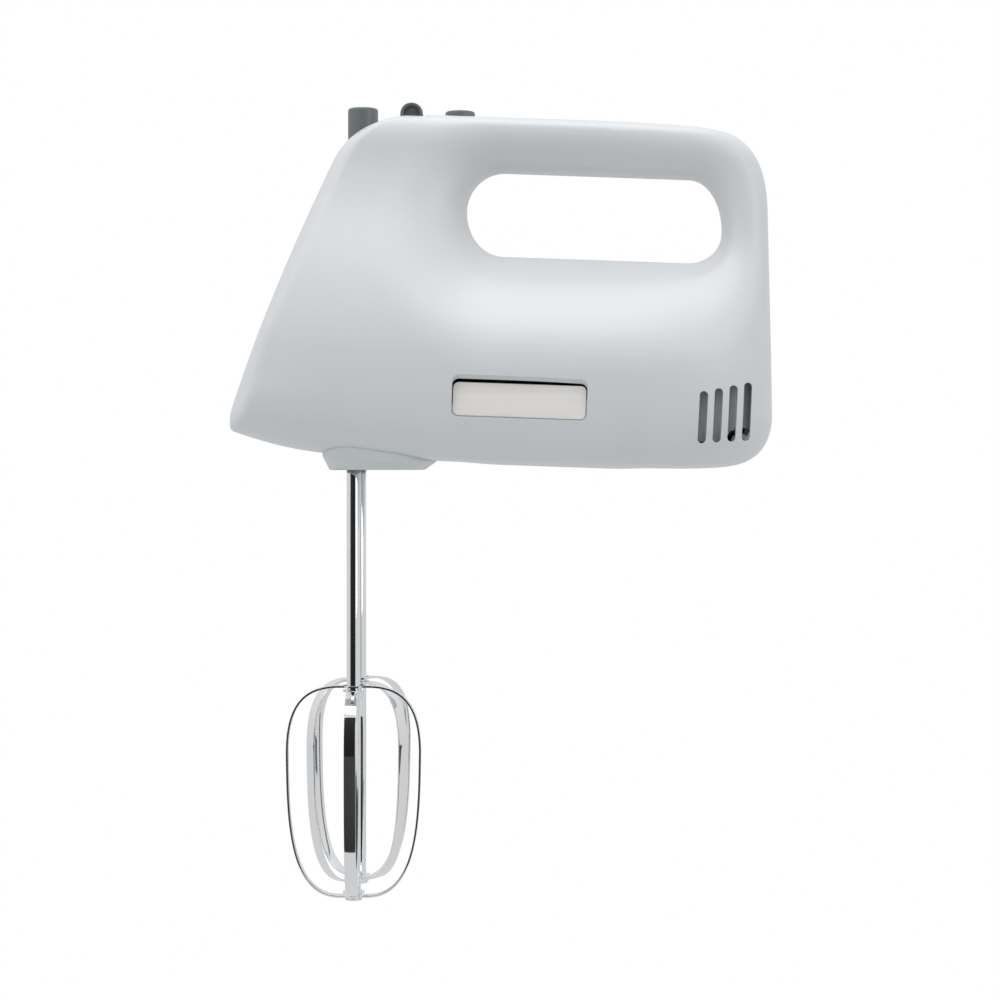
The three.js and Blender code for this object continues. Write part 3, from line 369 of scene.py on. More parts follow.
def half_surface(spacing=1.45):
    """A net of even quads over the left half of the body, from the field's sign on a grid."""
    axes = [np.arange(low, high, spacing) for low, high in ((-52, 158), (-45.0, 3.0), (0.5, 136))]
    grid = np.stack(np.meshgrid(*axes, indexing="ij"), axis=-1)
    value = casing_field(grid)
    inside = value < 0
    shape = np.array(value.shape) - 1
    total, count = np.zeros((*shape, 3)), np.zeros(shape)
    corners = [np.array((a, b, c)) for a in (0, 1) for b in (0, 1) for c in (0, 1)]
    take = lambda array, corner: array[tuple(slice(k, k + n) for k, n in zip(corner, shape))]
    for start in corners:
        for axis in range(3):
            if start[axis]:
                continue
            end = start.copy()
            end[axis] = 1
            v0, v1 = take(value, start), take(value, end)
            crossing = take(inside, start) != take(inside, end)
            share = np.where(crossing, v0 / np.where(crossing, v0 - v1, 1.0), 0.0)[..., None]
            place = take(grid, start) * (1 - share) + take(grid, end) * share
            total += np.where(crossing[..., None], place, 0.0)
            count += crossing
    used = count > 0
    number = np.full(shape, -1)
    number[used] = np.arange(used.sum())
    points = total[used] / count[used][:, None]
    quads = []
    for axis in range(3):
        one, two = [k for k in range(3) if k != axis]
        window = [slice(1, n) for n in shape]
        window[axis] = slice(0, shape[axis])
        window = tuple(window)
        ahead = list(window)
        ahead[axis] = slice(1, shape[axis] + 1)
        starts, ends = inside[window], inside[tuple(ahead)]
        ring = []
        for back_one, back_two in ((1, 1), (0, 1), (0, 0), (1, 0)):
            cell = list(window)
            cell[one] = slice(1 - back_one, shape[one] - back_one)
            cell[two] = slice(1 - back_two, shape[two] - back_two)
            ring.append(number[tuple(cell)])
        ring = np.stack(ring, axis=-1)
        forward, backward = starts & ~ends, ~starts & ends
        if axis == 1:
            forward, backward = backward, forward
        quads += [ring[forward], ring[backward][:, ::-1]]
    quads = np.concatenate(quads)
    quads = quads[(quads >= 0).all(axis=1)]
    for _ in range(4):
        normal, length = casing_normals(points)
        points = points - normal * (casing_field(points) / np.maximum(length, 0.3))[:, None]
    return points, quads


def mesh_object(name, points, faces, material, smooth=True):
    """A mesh object in upright metres, with its finish."""
    mesh = bpy.data.meshes.new(name)
    mesh.from_pydata([tuple(point) for point in points], [], [tuple(face) for face in faces])
    mesh.validate()
    mesh.materials.append(material)
    mesh.shade_smooth() if smooth else mesh.shade_flat()
    piece = bpy.data.objects.new(name, mesh)
    bpy.context.scene.collection.objects.link(piece)
    return piece


def trimmed_half():
    """The left half's outer skin, cut off flat at the split."""
    points, quads = half_surface()
    form = bmesh.new()
    corners = [form.verts.new(point) for point in points]
    for quad in quads:
        form.faces.new([corners[k] for k in quad])
    everything = form.verts[:] + form.edges[:] + form.faces[:]
    bmesh.ops.bisect_plane(form, geom=everything, plane_co=(0, -split_gap, 0), plane_no=(0, 1, 0),
                           clear_outer=True, dist=0.02)
    bmesh.ops.remove_doubles(form, verts=form.verts[:], dist=0.05)
    loose = [corner for corner in form.verts if not corner.link_faces]
    bmesh.ops.delete(form, geom=loose, context="VERTS")
    bmesh.ops.recalc_face_normals(form, faces=form.faces[:])
    form.verts.index_update()
    points = np.array([corner.co for corner in form.verts])
    faces = [[corner.index for corner in face.verts] for face in form.faces]
    rim = [[loop.vert.index for loop in (edge.link_loops[0], edge.link_loops[0].link_loop_next)]
           for edge in form.edges if len(edge.link_faces) == 1]
    form.free()
    return points, faces, rim


def shell_mesh(side):
    """A closed shell: the outer skin, the inner skin a wall inside it, and the rim between."""
    points, faces, rim = trimmed_half()
    edge = sorted({k for pair in rim for k in pair})
    normal, _ = casing_normals(points)
    inner = points - normal * shell_wall
    inner[:, 1] = np.minimum(inner[:, 1], -split_gap - 0.02)
    inner[edge, 1] = -split_gap
    points[edge, 1] = -split_gap
    count = len(points)
    both = np.concatenate([points, inner])
    shell = [list(face) for face in faces]
    shell += [[k + count for k in reversed(face)] for face in faces]
    shell += [[b, a, a + count, b + count] for a, b in rim]
    if side > 0:
        both[:, 1] *= -1
        shell = [list(reversed(face)) for face in shell]
    return both, shell


def capped_rings(rings, closed_start=True, closed_end=True):
    """Faces between equal rings of points, with a cap on each end."""
    count = len(rings[0])
    points = np.concatenate(rings)
    faces = []
    for k in range(len(rings) - 1):
        for j in range(count):
            a, b = k * count + j, k * count + (j + 1) % count
            faces.append([a, b, b + count, a + count])
    if closed_start:
        faces.append(list(range(count))[::-1])
    if closed_end:
        faces.append(list(range(len(points) - count, len(points))))
    return points, faces


def round_cutter(start, end, radius, sides=48):
    """A closed round bar between two points of the leaning frame, as points and faces."""
    start, end = np.asarray(start, float), np.asarray(end, float)
    axis = (end - start) / np.linalg.norm(end - start)
    aside = np.cross(axis, (0.0, 0.0, 1.0) if abs(axis[2]) < 0.9 else (1.0, 0.0, 0.0))
    aside /= np.linalg.norm(aside)
    turn = np.arange(sides) * 2 * math.pi / sides
    ring = radius * (np.cos(turn)[:, None] * aside + np.sin(turn)[:, None] * np.cross(axis, aside))
    points = np.concatenate([start + ring, end + ring])
    faces = [[k, (k + 1) % sides, (k + 1) % sides + sides, k + sides] for k in range(sides)]
    faces += [list(range(sides))[::-1], list(range(sides, 2 * sides))]
    return points, faces


def prism_cutter(outline, y0, y1):
    """A closed prism of an outline in p and r, from one y to another."""
    outline = np.asarray(outline, float)
    count = len(outline)
    points = np.array([(p, y, r) for y in (y0, y1) for p, r in outline])
    faces = [[k, k + count, (k + 1) % count + count, (k + 1) % count] for k in range(count)]
    return points, faces + [list(range(count)), list(range(count, 2 * count))[::-1]]


def rounded_outline(low, high, corner, steps=8):
    """Corners of a rounded rectangle from its low to its high corner, anticlockwise."""
    turn = np.linspace(0, math.pi / 2, steps + 1)
    points = []
    for quarter, (p, r) in enumerate(((high[0] - corner, high[1] - corner),
                                      (low[0] + corner, high[1] - corner),
                                      (low[0] + corner, low[1] + corner),
                                      (high[0] - corner, low[1] + corner))):
        for angle in turn + quarter * math.pi / 2:
            points.append((p + corner * math.cos(angle), r + corner * math.sin(angle)))
    return points


def leaning_place(x, z):
    """Where an upright point in millimetres lies in the leaning frame."""
    return x * math.cos(lean) - z * math.sin(lean), z * math.cos(lean) + x * math.sin(lean)


def upright_well(x, z0, z1, radius, y=0.0):
    """A round cutter that stands upright in the leaning frame."""
    (p0, r0), (p1, r1) = leaning_place(x, z0), leaning_place(x, z1)
    return round_cutter((p0, y, r0), (p1, y, r1), radius, 64)


pilot_radius = 1.8
head_radius = 3.5
head_seat = 8.0
boss_radii = {-1: 3.4, 1: 5.1}
screw_places = ((-34.2, 24.0), (141.2, 55.8), (127.2, 122.2), (26.0, 102.55), (88.0, 72.0),
                (140.2, 14.8))
badge_low, badge_high, badge_floor = (35.25, 20.45), (83.35, 33.0), 38.05
badge_brow = 2.35
slot_count = 4
slot_pitch = 5.5
slot_width = 3.1
gland_height = 33.8
gland_radius = 5.2


def casing_cutters(side):
    """Everything cut through one casing: slots, control wells, sockets, badge or screw holes."""
    cuts = []
    for k in range(slot_count):
        p = 125.2 + slot_pitch * k
        low, high = 14.0 + 0.5 * k, 32.6 + 1.3 * k
        outline = rounded_outline((p - slot_width / 2, low), (p + slot_width / 2, high), 1.5)
        cuts.append(prism_cutter(outline, side * 20.0, side * 60.0))
    cuts.append(upright_well(eject_x, 106.0, 160.0, control_well))
    cuts.append(upright_well(pulse_x, 123.0, 160.0, control_well))
    cuts += [upright_well(0.0, -5.0, 15.0, socket_bore, y) for y in (-socket_y, socket_y)]
    p, r = leaning_place(selector_x, 130.1)
    cuts.append(prism_cutter([(p - 5.2, r), (p + 5.2, r), (p + 5.2, 160), (p - 5.2, 160)], -12, 12))
    cuts.append(prism_cutter([(p - 1.7, 120), (p + 1.7, 120), (p + 1.7, r + 1), (p - 1.7, r + 1)],
                             -9.5, 9.5))
    cuts.append(round_cutter((141.0, 0, gland_height), (175.0, 0, gland_height), gland_radius))
    if side < 0:
        recess = []
        for y, brow in ((-badge_floor, 0.0), (-41.9, badge_brow), (-60.0, badge_brow)):
            outline = rounded_outline(badge_low, (badge_high[0], badge_high[1] + brow), 2.3)
            recess.append(np.array([(p, y, r) for p, r in outline]))
        cuts.append(capped_rings(recess))
    else:
        cuts += [round_cutter((p, head_seat, r), (p, 60.0, r), head_radius, 40)
                 for p, r in screw_places]
    return cuts


def closed_form(parts):
    """Cutters or solids gathered into one bmesh with outward faces."""
    form = bmesh.new()
    for points, faces in parts:
        corners = [form.verts.new(point) for point in points]
        for face in faces:
            form.faces.new([corners[k] for k in face])
    bmesh.ops.recalc_face_normals(form, faces=form.faces[:])
    return form


def carve(piece, cutters, operation="DIFFERENCE"):
    """Cuts closed forms out of a piece, or joins them to it, and applies the result."""
    mesh = bpy.data.meshes.new("cutter")
    form = closed_form(cutters)
    form.to_mesh(mesh)
    form.free()
    tool = bpy.data.objects.new("cutter", mesh)
    bpy.context.scene.collection.objects.link(tool)
    cut = piece.modifiers.new("cut", "BOOLEAN")
    cut.operation, cut.solver, cut.object, cut.use_self = operation, "EXACT", tool, True
    bpy.context.view_layer.update()
    result = bpy.data.meshes.new_from_object(piece.evaluated_get(bpy.context.evaluated_depsgraph_get()))
    piece.modifiers.clear()
    piece.data = result
    bpy.data.objects.remove(tool)
    return piece


def settle_normals(piece):
    """Skins shade as the true curved surface, and cut faces shade flat across their own facets."""
    mesh = piece.data
    points = np.array([corner.co for corner in mesh.vertices])
    mirrored = points * (1.0, np.sign(points[:, 1].sum()) * -1.0, 1.0)
    level = casing_field(mirrored)
    on_skin = (np.abs(level) < 0.12) & (mirrored[:, 1] < -split_gap + 0.01)
    normal, _ = casing_normals(mirrored)
    normal *= (1.0, np.sign(points[:, 1].sum()) * -1.0, 1.0)
    mesh.shade_smooth()
    chosen = np.zeros((len(mesh.loops), 3))
    for face in mesh.polygons:
        corners = list(face.vertices)
        skin = on_skin[corners].all() and np.dot(normal[corners[0]], face.normal) > 0.5
        for loop in face.loop_indices:
            chosen[loop] = normal[mesh.loops[loop].vertex_index] if skin else face.normal
    mesh.normals_split_custom_set(chosen)


def joined_to(piece, mesh, material):
    """Adds a loose mesh to a piece, keeping the piece's shading."""
    mesh.materials.append(material)
    extra = bpy.data.objects.new("extra", mesh)
    bpy.context.scene.collection.objects.link(extra)
    with bpy.context.temp_override(active_object=piece, object=piece,
                                   selected_editable_objects=[piece, extra]):
        bpy.ops.object.join()
    return piece


def boss_form(p, r, side, sides=40):
    """A screw boss from the split into the wall: a pilot hole at left, a counterbore at right."""
    depth = np.linspace(4.0, 44.0, 200)
    outside = boss_radii[side]
    lines = [np.stack([np.full(200, p + outside * math.cos(a)), -depth,
                       np.full(200, r + outside * math.sin(a))], axis=-1)
             for a in np.linspace(0.0, 2 * math.pi, 12, endpoint=False)]
    end = depth[np.argmax(np.max([casing_field(line) for line in lines], axis=0) > -1.0)]
    profile = [(pilot_radius, 0.2), (outside, 0.2), (outside, end)]
    if side < 0:
        profile += [(pilot_radius, end)]
    else:
        profile += [(head_radius, end), (head_radius, head_seat), (pilot_radius, head_seat)]
    turn = np.arange(sides) * 2 * math.pi / sides
    rings = [np.stack([p + radius * np.cos(turn), np.full(sides, side * out),
                       r + radius * np.sin(turn)], axis=-1) for radius, out in profile + profile[:1]]
    return capped_rings(rings, False, False)


def build_casing(name, side, material):
    """One shell, cut, shaded and given its screw bosses, then stood upright in metres."""
    points, faces = shell_mesh(side)
    casing = mesh_object(name, points, faces, material)
    carve(casing, casing_cutters(side))
    settle_normals(casing)
    form = closed_form([boss_form(p, r, side) for p, r in screw_places])
    bosses = bpy.data.meshes.new("bosses")
    form.to_mesh(bosses)
    form.free()
    casing = joined_to(casing, bosses, material)
    casing.data.transform(Matrix.Scale(0.001, 4) @ Matrix.Rotation(lean, 4, "Y"))
    return casing


shell_plastic = make_material(
    "shell plastic", surface_grain, (0.66, 0.685, 0.70), (0.69, 0.71, 0.725), (0.33, 0.41),
    (0.12, 0.00004), {"Coat Weight": 0.12, "Coat Roughness": 0.25},
    {"Grain per metre": 3200.0, "Patches per metre": 18.0})
left_shell = build_casing("left_shell", -1, shell_plastic)
right_shell = build_casing("right_shell", 1, shell_plastic)
for shell, node in ((left_shell, "left_casing"), (right_shell, "right_casing")):
    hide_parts(node)
    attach(shell, "root")
dress(turned_steel, *(f"casing_screw_{k}" for k in range(1, 7)))
gland_rubber = make_material(
    "gland rubber", surface_grain, (0.035, 0.036, 0.037), (0.05, 0.051, 0.052), (0.6, 0.75),
    (0.3, 0.00006))
dress(gland_rubber, "cord_gland")
fleece = make_material(
    "filter fleece", surface_grain, (0.50, 0.51, 0.51), (0.62, 0.63, 0.63), (0.85, 0.95),
    (0.6, 0.0002), None, {"Grain per metre": 1800.0})
dress(fleece, "left_vent_screen", "right_vent_screen")


# ---- Badge plate --------------------------------------------------------------------------
# A thin brushed plate with softened edges, stuck to the floor of its recess in the left shell.

def sharpen(piece, degrees=35.0):
    """Outward faces, smooth except where two meet at more than this angle."""
    form = bmesh.new()
    form.from_mesh(piece.data)
    bmesh.ops.recalc_face_normals(form, faces=form.faces[:])
    form.to_mesh(piece.data)
    form.free()
    piece.data.shade_smooth()
    piece.data.set_sharp_from_angle(angle=math.radians(degrees))
    return piece


badge_rings = []
for inset, y in ((0.3, -37.85), (0.3, -38.5), (0.42, -38.68), (0.65, -38.75)):
    outline = rounded_outline((badge_low[0] + inset, badge_low[1] + inset),
                              (badge_high[0] - inset, badge_high[1] - inset), 2.3 - inset)
    badge_rings.append(np.array([(p, y, r) for p, r in outline]))
brushed_plate = make_material(
    "brushed plate", drawn_lines, (0.84, 0.82, 0.78), (0.89, 0.87, 0.83), (0.34, 0.46),
    (0.2, 0.00002), {"Metallic": 0.0, "Coat Weight": 0.2},
    {"Along X": 25.0, "Along Y": 3500.0, "Along Z": 3500.0})
badge_points, badge_faces = capped_rings(badge_rings)
badge = sharpen(mesh_object("badge", upright(badge_points), badge_faces, brushed_plate))
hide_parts("badge_plate")
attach(badge, "root")


# ---- Socket collar ------------------------------------------------------------------------
# A darker moulded plinth clipped under the nose, its sides drawn in towards the lower edge,
# with the two sockets through it. Its top follows the shells' underside.

def below_casing(x, y):
    """The height just under the shells at a place in the upright frame, in millimetres."""
    low, high = np.zeros_like(x), np.full_like(x, 14.0)
    for _ in range(30):
        middle = (low + high) / 2
        p = x * math.cos(lean) - middle * math.sin(lean)
        r = middle * math.cos(lean) + x * math.sin(lean)
        clear = casing_field(np.stack([p, -np.abs(y), r], axis=-1)) > 0.06
        low, high = np.where(clear, middle, low), np.where(clear, high, middle)
    return low


collar_middle = 8.75
collar_length, collar_breadth = 20.75, 30.0  # half of each
turn = np.arange(96) * 2 * math.pi / 96
bent = lambda value: np.sign(value) * np.abs(value) ** 0.56
collar_x, collar_y = bent(np.cos(turn)), bent(np.sin(turn))
collar_rings = []
for tuck, height in ((1.35, 0.0), (1.2, 0.0), (1.02, 0.22), (0.88, 0.8), (0.72, 1.6), (0.5, 2.8),
                     (0.22, 4.0), (0.0, 5.2), (0.0, None)):
    inset = tuck * np.where(collar_x < 0, 2.4, 4.2)
    x = collar_middle + (collar_length - inset) * collar_x
    y = (collar_breadth - 3.0 * tuck) * collar_y
    top = below_casing(x, y)
    rise = top if height is None else np.minimum(height * np.where(x < 8, 1.0, 0.6), top - 0.02)
    collar_rings.append(np.stack([x, y, rise], axis=-1))
for reach in (0.93, 0.75, 0.5, 0.25, 0.04):
    x = collar_middle + collar_length * reach * collar_x
    y = collar_breadth * reach * collar_y
    collar_rings.append(np.stack([x, y, below_casing(x, y)], axis=-1))
collar_points, collar_faces = capped_rings(collar_rings)
collar_plastic = make_material(
    "collar plastic", surface_grain, (0.60, 0.635, 0.635), (0.63, 0.665, 0.665), (0.38, 0.48),
    (0.2, 0.00005), None, {"Grain per metre": 2600.0})
collar = mesh_object("collar", collar_points, collar_faces, collar_plastic)
carve(collar, [round_cutter((0, y, -5), (0, y, 18), socket_bore, 64) for y in (-socket_y, socket_y)])
collar.data.transform(Matrix.Scale(0.001, 4))
sharpen(collar)
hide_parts("socket_collar")
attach(collar, "root")


# ---- Eject button -------------------------------------------------------------------------
# A round moulded plunger in the front corner of the handle, its top edge softly turned over.
# It slides in a well in the shells, with the ejector yoke under it.

def lathe(profile, centre, sides=96):
    """A turned form from a profile of radius and height, closed on its axis at both ends."""
    turn = np.arange(sides) * 2 * math.pi / sides
    rings = [np.stack([centre[0] + max(radius, 0.02) * np.cos(turn),
                       centre[1] + max(radius, 0.02) * np.sin(turn),
                       np.full(sides, centre[2] + height)], axis=-1) for radius, height in profile]
    return capped_rings(rings)


def turned_edge(radius, top, round_over, steps=6):
    """The rounded rim of a turned top: profile points from the side up on to the top."""
    angles = [math.pi / 2 * k / steps for k in range(steps + 1)]
    return [(radius - round_over + round_over * math.cos(a), top - round_over + round_over * math.sin(a))
            for a in angles]


button_plastic = make_material(
    "button plastic", surface_grain, (0.130, 0.147, 0.151), (0.145, 0.162, 0.166), (0.36, 0.46),
    (0.2, 0.00005), {"Coat Weight": 0.1}, {"Grain per metre": 3500.0})
eject_radius, eject_top = 5.6, 134.55
eject_profile = [(0.0, -16.6), (5.3, -16.6), (eject_radius, -16.2),
                 *turned_edge(eject_radius, -0.25, 1.0), (3.0, -0.05), (0.0, 0.0)]
eject_points, eject_faces = lathe(eject_profile, (eject_x, 0.0, eject_top))
eject_button = sharpen(mesh_object("eject_cap", eject_points * 0.001, eject_faces, button_plastic))
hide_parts("eject_button")
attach(eject_button, "eject_button")


# ---- Return springs -----------------------------------------------------------------------
# Two compression springs of round steel wire. One stands on the control deck under the eject
# button and one on the pulse switch.

def coil_spring(name, node, x, radius, wire, turns):
    """A helix of wire (its radius) in the place of a packed spring."""
    low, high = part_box(node)[0][2] * 1000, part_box(node)[1][2] * 1000
    steps = turns * 32
    up = np.array([0.0, 0.0, 1.0])
    around = [2 * math.pi * j / 10 for j in range(10)]
    rings = []
    for k in range(steps + 1):
        share = k / steps
        angle = share * turns * 2 * math.pi
        out = np.array([math.cos(angle), math.sin(angle), 0.0])
        middle = out * radius + (x, 0.0, low + wire + (high - low - 2 * wire) * share)
        rings.append(np.array([middle + wire * (math.cos(a) * out + math.sin(a) * up)
                               for a in around]))
    points, faces = capped_rings(rings)
    spring = sharpen(mesh_object(name, points * 0.001, faces, turned_steel), 60.0)
    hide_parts(node)
    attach(spring, "root")
    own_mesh(spring)


coil_spring("eject_coil", "eject_spring", eject_x, 3.7, 0.5, 6)
coil_spring("pulse_coil", "pulse_spring", pulse_x, 3.1, 0.4, 3)


# ---- Speed selector -----------------------------------------------------------------------
# A round-topped sliding knob across the handle with a sunk panel in each end, on a stem that
# moves the wiper carriage inside.

def tombstone(width, low, high, steps=24):
    """An upright outline with a half-round top, from its lower left corner."""
    radius = width / 2
    angles = [math.pi - math.pi * k / steps for k in range(steps + 1)]
    arch = [(radius * math.cos(a), high - radius + radius * math.sin(a)) for a in angles]
    return [(-radius, low), *arch, (radius, low)]


knob_low, knob_high, knob_width, knob_y = 130.25, 135.05, 8.3, -7.0
knob_rings = []
for inset, y in ((1.6, -2.2), (1.25, -2.2), (1.1, -3.7), (0.35, -4.0), (0.0, -3.65), (0.0, 3.65),
                 (0.35, 4.0), (1.1, 3.7), (1.25, 2.2), (1.6, 2.2)):
    outline = tombstone(knob_width - 2 * inset, knob_low + inset * 0.2, knob_high - inset)
    knob_rings.append(np.array([(selector_x + x, knob_y + y, z) for x, z in outline]))
knob_points, knob_faces = capped_rings(knob_rings)
knob = mesh_object("selector_knob", knob_points, knob_faces, button_plastic)
carriage_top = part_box("selector_carriage")[1][2] * 1000 + 0.3
carve(knob, [prism_cutter([(19.6, carriage_top), (22.0, carriage_top), (22.0, 131.5), (19.6, 131.5)],
                          -8.5, -5.5)], "UNION")
knob.data.transform(Matrix.Scale(0.001, 4))
sharpen(knob)
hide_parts("speed_selector")
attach(knob, "speed_selector")


# ---- Pulse button -------------------------------------------------------------------------
# A low round moulded button with a dished top, its stem over the pulse switch. It slides in a
# well in the shells and is held up by its own spring.

pulse_top = 133.1
stem_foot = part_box("pulse_button")[0][2] * 1000 - pulse_top
pulse_profile = [(0.0, stem_foot), (1.6, stem_foot), (1.6, -7.2), (5.5, -7.2), (5.7, -6.8),
                 (5.62, -2.0), *turned_edge(5.5, 0.0, 0.7), (4.3, -0.08), (3.0, -0.3), (1.5, -0.5),
                 (0.0, -0.56)]
pulse_points, pulse_faces = lathe(pulse_profile, (pulse_x, 0.0, pulse_top))
pulse_button = sharpen(mesh_object("pulse_cap", pulse_points * 0.001, pulse_faces, button_plastic))
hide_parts("pulse_button")
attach(pulse_button, "pulse_button")


# ---- Beaters ------------------------------------------------------------------------------
# Each is a chromed rod with two drive tabs, riveted through two crossed loops of polished
# steel strip, and pushed up into its spindle. The far beater stands an eighth of a turn round.

def loop_line(top, bottom, steps=40):
    """The middle line of one closed strip, across and up, all the way round."""
    widest, reach = top - (top - bottom) * 0.306, 24.2
    right = np.concatenate([
        curve_points((0, top), (5, top), steps=6)[:-1],
        curve_points((5, top), (17, top), (reach - 0.2, top - 5.6), (reach, widest),
                     steps=steps)[:-1],
        curve_points((reach, widest), (reach - 0.3, widest - 24), (reach - 0.5, bottom),
                     (5, bottom), steps=steps)[:-1],
        curve_points((5, bottom), (0, bottom), steps=6)])
    return np.concatenate([right[:-1], right[:0:-1] * (-1.0, 1.0)])


def strip_form(line, width, thickness, turned):
    """A strip with rounded edges swept round a closed line, and turned about the upright axis."""
    ahead = np.roll(line, -1, axis=0) - np.roll(line, 1, axis=0)
    ahead /= np.linalg.norm(ahead, axis=1, keepdims=True)
    outward = np.stack([ahead[:, 1], -ahead[:, 0]], axis=-1)
    soft = 0.14
    section = rounded_outline((-width / 2, -thickness / 2), (width / 2, thickness / 2), soft, 3)
    rings = []
    for (x, z), (ox, oz) in zip(line, outward):
        ring = [(x + out * ox, across, z + out * oz) for across, out in section]
        rings.append(np.array(ring))
    points, faces = capped_rings(rings, False, False)
    count, total = len(section), len(points)
    faces += [[total - count + j, total - count + (j + 1) % count, (j + 1) % count, j]
              for j in range(count)]
    spin = np.array([[math.cos(turned), -math.sin(turned), 0], [math.sin(turned), math.cos(turned), 0],
                     [0, 0, 1]])
    return points @ spin.T, faces


def gathered(parts):
    """Several forms as one list of points and faces."""
    points, faces, start = [], [], 0
    for part_points, part_faces in parts:
        points.append(part_points)
        faces += [[k + start for k in face] for face in part_faces]
        start += len(part_points)
    return np.concatenate(points), faces


def box_form(low, high, soft):
    """A block with softened upright edges."""
    outline = rounded_outline(low[:2], high[:2], soft, 4)
    rings = [np.array([(x, y, z) for x, y in outline]) for z in (low[2], high[2])]
    return capped_rings(rings)


polished_steel = make_material(
    "polished steel", drawn_lines, (0.83, 0.84, 0.85), (0.88, 0.89, 0.90), (0.035, 0.075),
    (0.04, 0.00001), metal, {"Along X": 700.0, "Along Y": 700.0, "Along Z": 90.0})
loop_top, loop_bottom, strip_width, strip_thickness, nested = -78.4, -155.5, 4.2, 0.8, 1.5
shaft_profile = [(0.0, loop_bottom - 1.0), (2.9, loop_bottom - 1.0), (3.1, loop_bottom - 0.8),
                 (3.1, loop_bottom - 0.3), (2.55, loop_bottom - 0.3), (2.55, 23.0),
                 (2.35, 23.5), (1.75, 24.0), (0.0, 24.0)]
for side, y, facing in (("near", -socket_y, 0.0), ("far", socket_y, math.pi / 4)):
    shaft_points, shaft_faces = gathered([
        lathe(shaft_profile, (0.0, 0.0, 0.0), 64),
        box_form((-0.7, -4.6, 7.0), (0.7, 4.6, 11.0), 0.3)])
    shaft = mesh_object(f"{side}_shaft", (shaft_points + (0, y, 0)) * 0.001, shaft_faces, polished_steel)
    sharpen(shaft)
    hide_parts(f"{side}_beater_shaft")
    pieces = [shaft]
    for label, inset, turned in (("outer", 0.0, facing), ("inner", nested, facing + math.pi / 2)):
        top, bottom = loop_top - inset, loop_bottom + inset
        line = loop_line(top - strip_thickness / 2, bottom + strip_thickness / 2)
        hub = [(2.6, 0.0), (3.8, 0.0), (3.95, 0.15), (3.95, 0.7), (3.8, 0.85), (2.6, 0.85)]
        strip_points, strip_faces = gathered([
            strip_form(line, strip_width, strip_thickness, turned),
            lathe(hub, (0.0, 0.0, top - 0.85), 64), lathe(hub, (0.0, 0.0, bottom), 64)])
        strip = mesh_object(f"{side}_{label}_strip", (strip_points + (0, y, 0)) * 0.001, strip_faces,
                            polished_steel)
        sharpen(strip)
        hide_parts(f"{side}_{label}_loop")
        pieces.append(strip)
    for piece in pieces:
        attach(piece, f"{side}_beater")


# ---- Studio -------------------------------------------------------------------------------
# A pale floor that melts into a white surround, a wide soft light overhead and two weaker ones
# in front. Dark cards behind the camera and on the floor give the polished steel its lines.

floor_turn = np.arange(128) * 2 * math.pi / 128
floor_rings = [np.stack([0.05 + radius * np.cos(floor_turn), radius * np.sin(floor_turn),
                         np.full(128, -0.1568)], axis=-1) for radius in (0.3, 3.0)]
floor_points, floor_faces = capped_rings(floor_rings, True, False)
floor_paint = bpy.data.materials.new("floor paint")
floor_paint.use_nodes = True
floor_tree = floor_paint.node_tree
floor_shader = floor_tree.nodes["Principled BSDF"]
floor_noise = add_node(floor_tree, "ShaderNodeTexNoise", {"Scale": 4.0, "Detail": 2.0})
floor_tone = two_tones(floor_tree, floor_noise.outputs["Fac"], (0.93, 0.93, 0.93), (0.95, 0.95, 0.95))
floor_tree.links.new(floor_tone, floor_shader.inputs["Base Color"])
floor_shader.inputs["Roughness"].default_value = 0.9
floor_shader.inputs["Specular IOR Level"].default_value = 0.0
floor_shader.inputs["Emission Color"].default_value = (1.0, 1.0, 1.0, 1.0)
floor_shader.inputs["Emission Strength"].default_value = 0.36
behind = add_node(floor_tree, "ShaderNodeNewGeometry").outputs["Backfacing"]
seen_through = add_node(floor_tree, "ShaderNodeBsdfTransparent")
floor_mix = add_node(floor_tree, "ShaderNodeMixShader", {
    0: behind, 1: floor_shader.outputs[0], 2: seen_through.outputs[0]})
floor_tree.links.new(floor_mix.outputs[0], floor_tree.nodes["Material Output"].inputs["Surface"])
floor = mesh_object("floor", floor_points, floor_faces, floor_paint)

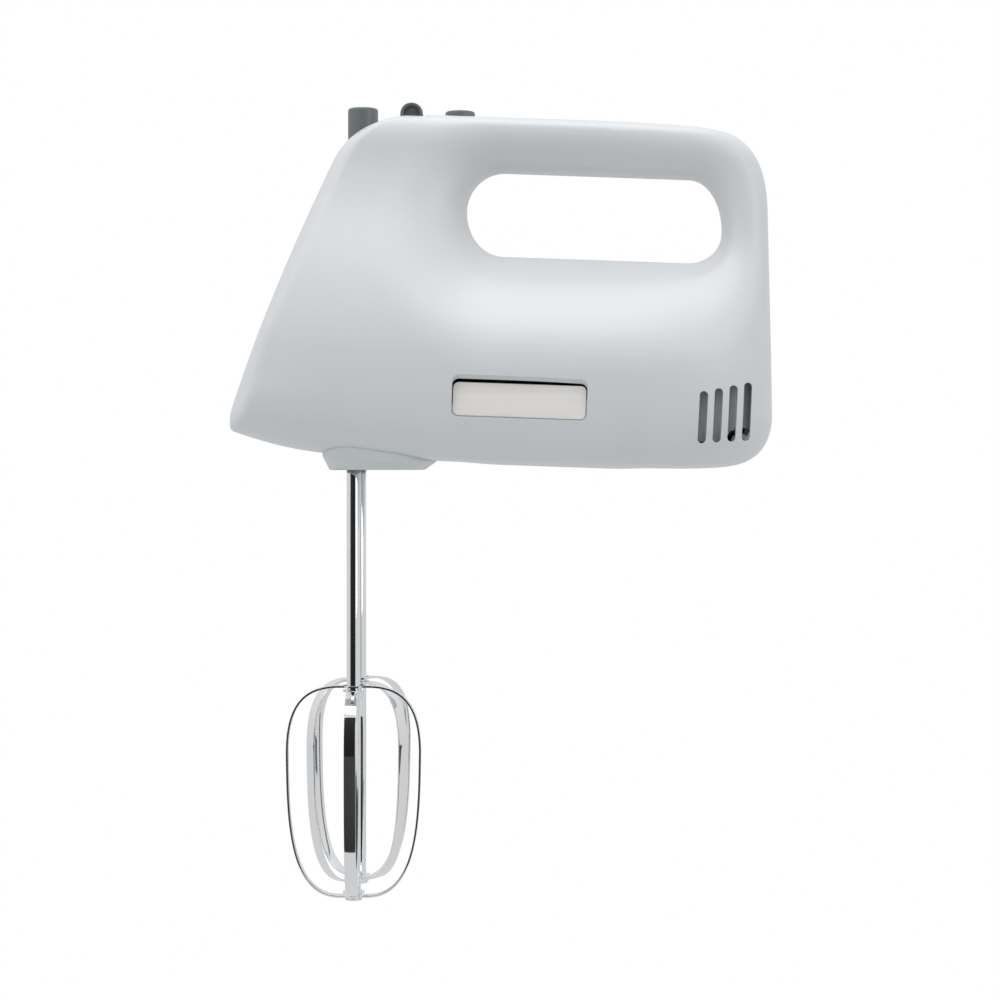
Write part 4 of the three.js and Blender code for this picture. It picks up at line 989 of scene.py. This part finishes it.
world = bpy.data.worlds.new("white room")
bpy.context.scene.world = world
world.use_nodes = True
sky = world.node_tree
sky.nodes.clear()
direction = add_node(sky, "ShaderNodeTexCoord").outputs["Generated"]
upward = add_node(sky, "ShaderNodeSeparateXYZ", {0: direction}).outputs["Z"]
height_tone = add_node(sky, "ShaderNodeMapRange", {
    "Value": upward, "From Min": -0.1, "From Max": 0.9, "To Min": 0.70, "To Max": 0.84})
lit = add_node(sky, "ShaderNodeBackground", {"Color": (0.985, 0.995, 1.0, 1.0)})
sky.links.new(height_tone.outputs["Result"], lit.inputs["Strength"])
plain = add_node(sky, "ShaderNodeBackground", {"Color": (1.0, 1.0, 1.0, 1.0), "Strength": 1.0})
seen = add_node(sky, "ShaderNodeLightPath").outputs["Is Camera Ray"]
sky_mix = add_node(sky, "ShaderNodeMixShader", {0: seen, 1: lit.outputs[0], 2: plain.outputs[0]})
add_node(sky, "ShaderNodeOutputWorld", {"Surface": sky_mix.outputs[0]})


def soft_light(name, place, target, size, power):
    """A square area light aimed at a point."""
    lamp = bpy.data.lights.new(name, "AREA")
    lamp.shape, lamp.size, lamp.energy = "SQUARE", size, power
    light = bpy.data.objects.new(name, lamp)
    light.location = place
    aim = Vector(target) - Vector(place)
    light.rotation_euler = aim.to_track_quat("-Z", "Y").to_euler()
    light.visible_camera = False
    bpy.context.scene.collection.objects.link(light)


soft_light("overhead", (0.0, -0.25, 1.9), (0.05, 0.0, 0.0), 1.6, 16.0)
soft_light("front right", (1.7, -1.3, 0.7), (0.1, 0.0, 0.05), 0.9, 3.0)
soft_light("front left", (-1.3, -1.5, 0.9), (0.05, 0.0, 0.0), 0.9, 4.0)

card_material = bpy.data.materials.new("dark card")
card_material.use_nodes = True
card_tree = card_material.node_tree
card_shader = card_tree.nodes["Principled BSDF"]
card_noise = add_node(card_tree, "ShaderNodeTexNoise", {"Scale": 6.0})
card_tree.links.new(two_tones(card_tree, card_noise.outputs["Fac"], (0.01, 0.01, 0.01), (0.02, 0.02, 0.02)),
                    card_shader.inputs["Base Color"])
card_shader.inputs["Roughness"].default_value = 1.0


def dark_card(name, corners, shades_matt):
    """A card that the camera and shadows pass by, seen in polished metal and, if asked, matt skins."""
    card = mesh_object(name, corners, [(0, 1, 2, 3)], card_material)
    card.visible_camera = False
    card.visible_shadow = False
    card.visible_diffuse = shades_matt


dark_card("upright_card", [(-1.45, -1.1, -0.156), (0.7, -1.1, -0.156), (0.7, -1.1, 1.3),
                           (-1.45, -1.1, 1.3)], False)
dark_card("near_floor_card", [(-0.5, -0.5, -0.156), (0.6, -0.5, -0.156), (0.6, -0.07, -0.156),
                              (-0.5, -0.07, -0.156)], False)
dark_card("far_floor_card", [(-0.8, -1.1, -0.156), (0.9, -1.1, -0.156), (0.9, -0.5, -0.156),
                             (-0.8, -0.5, -0.156)], True)
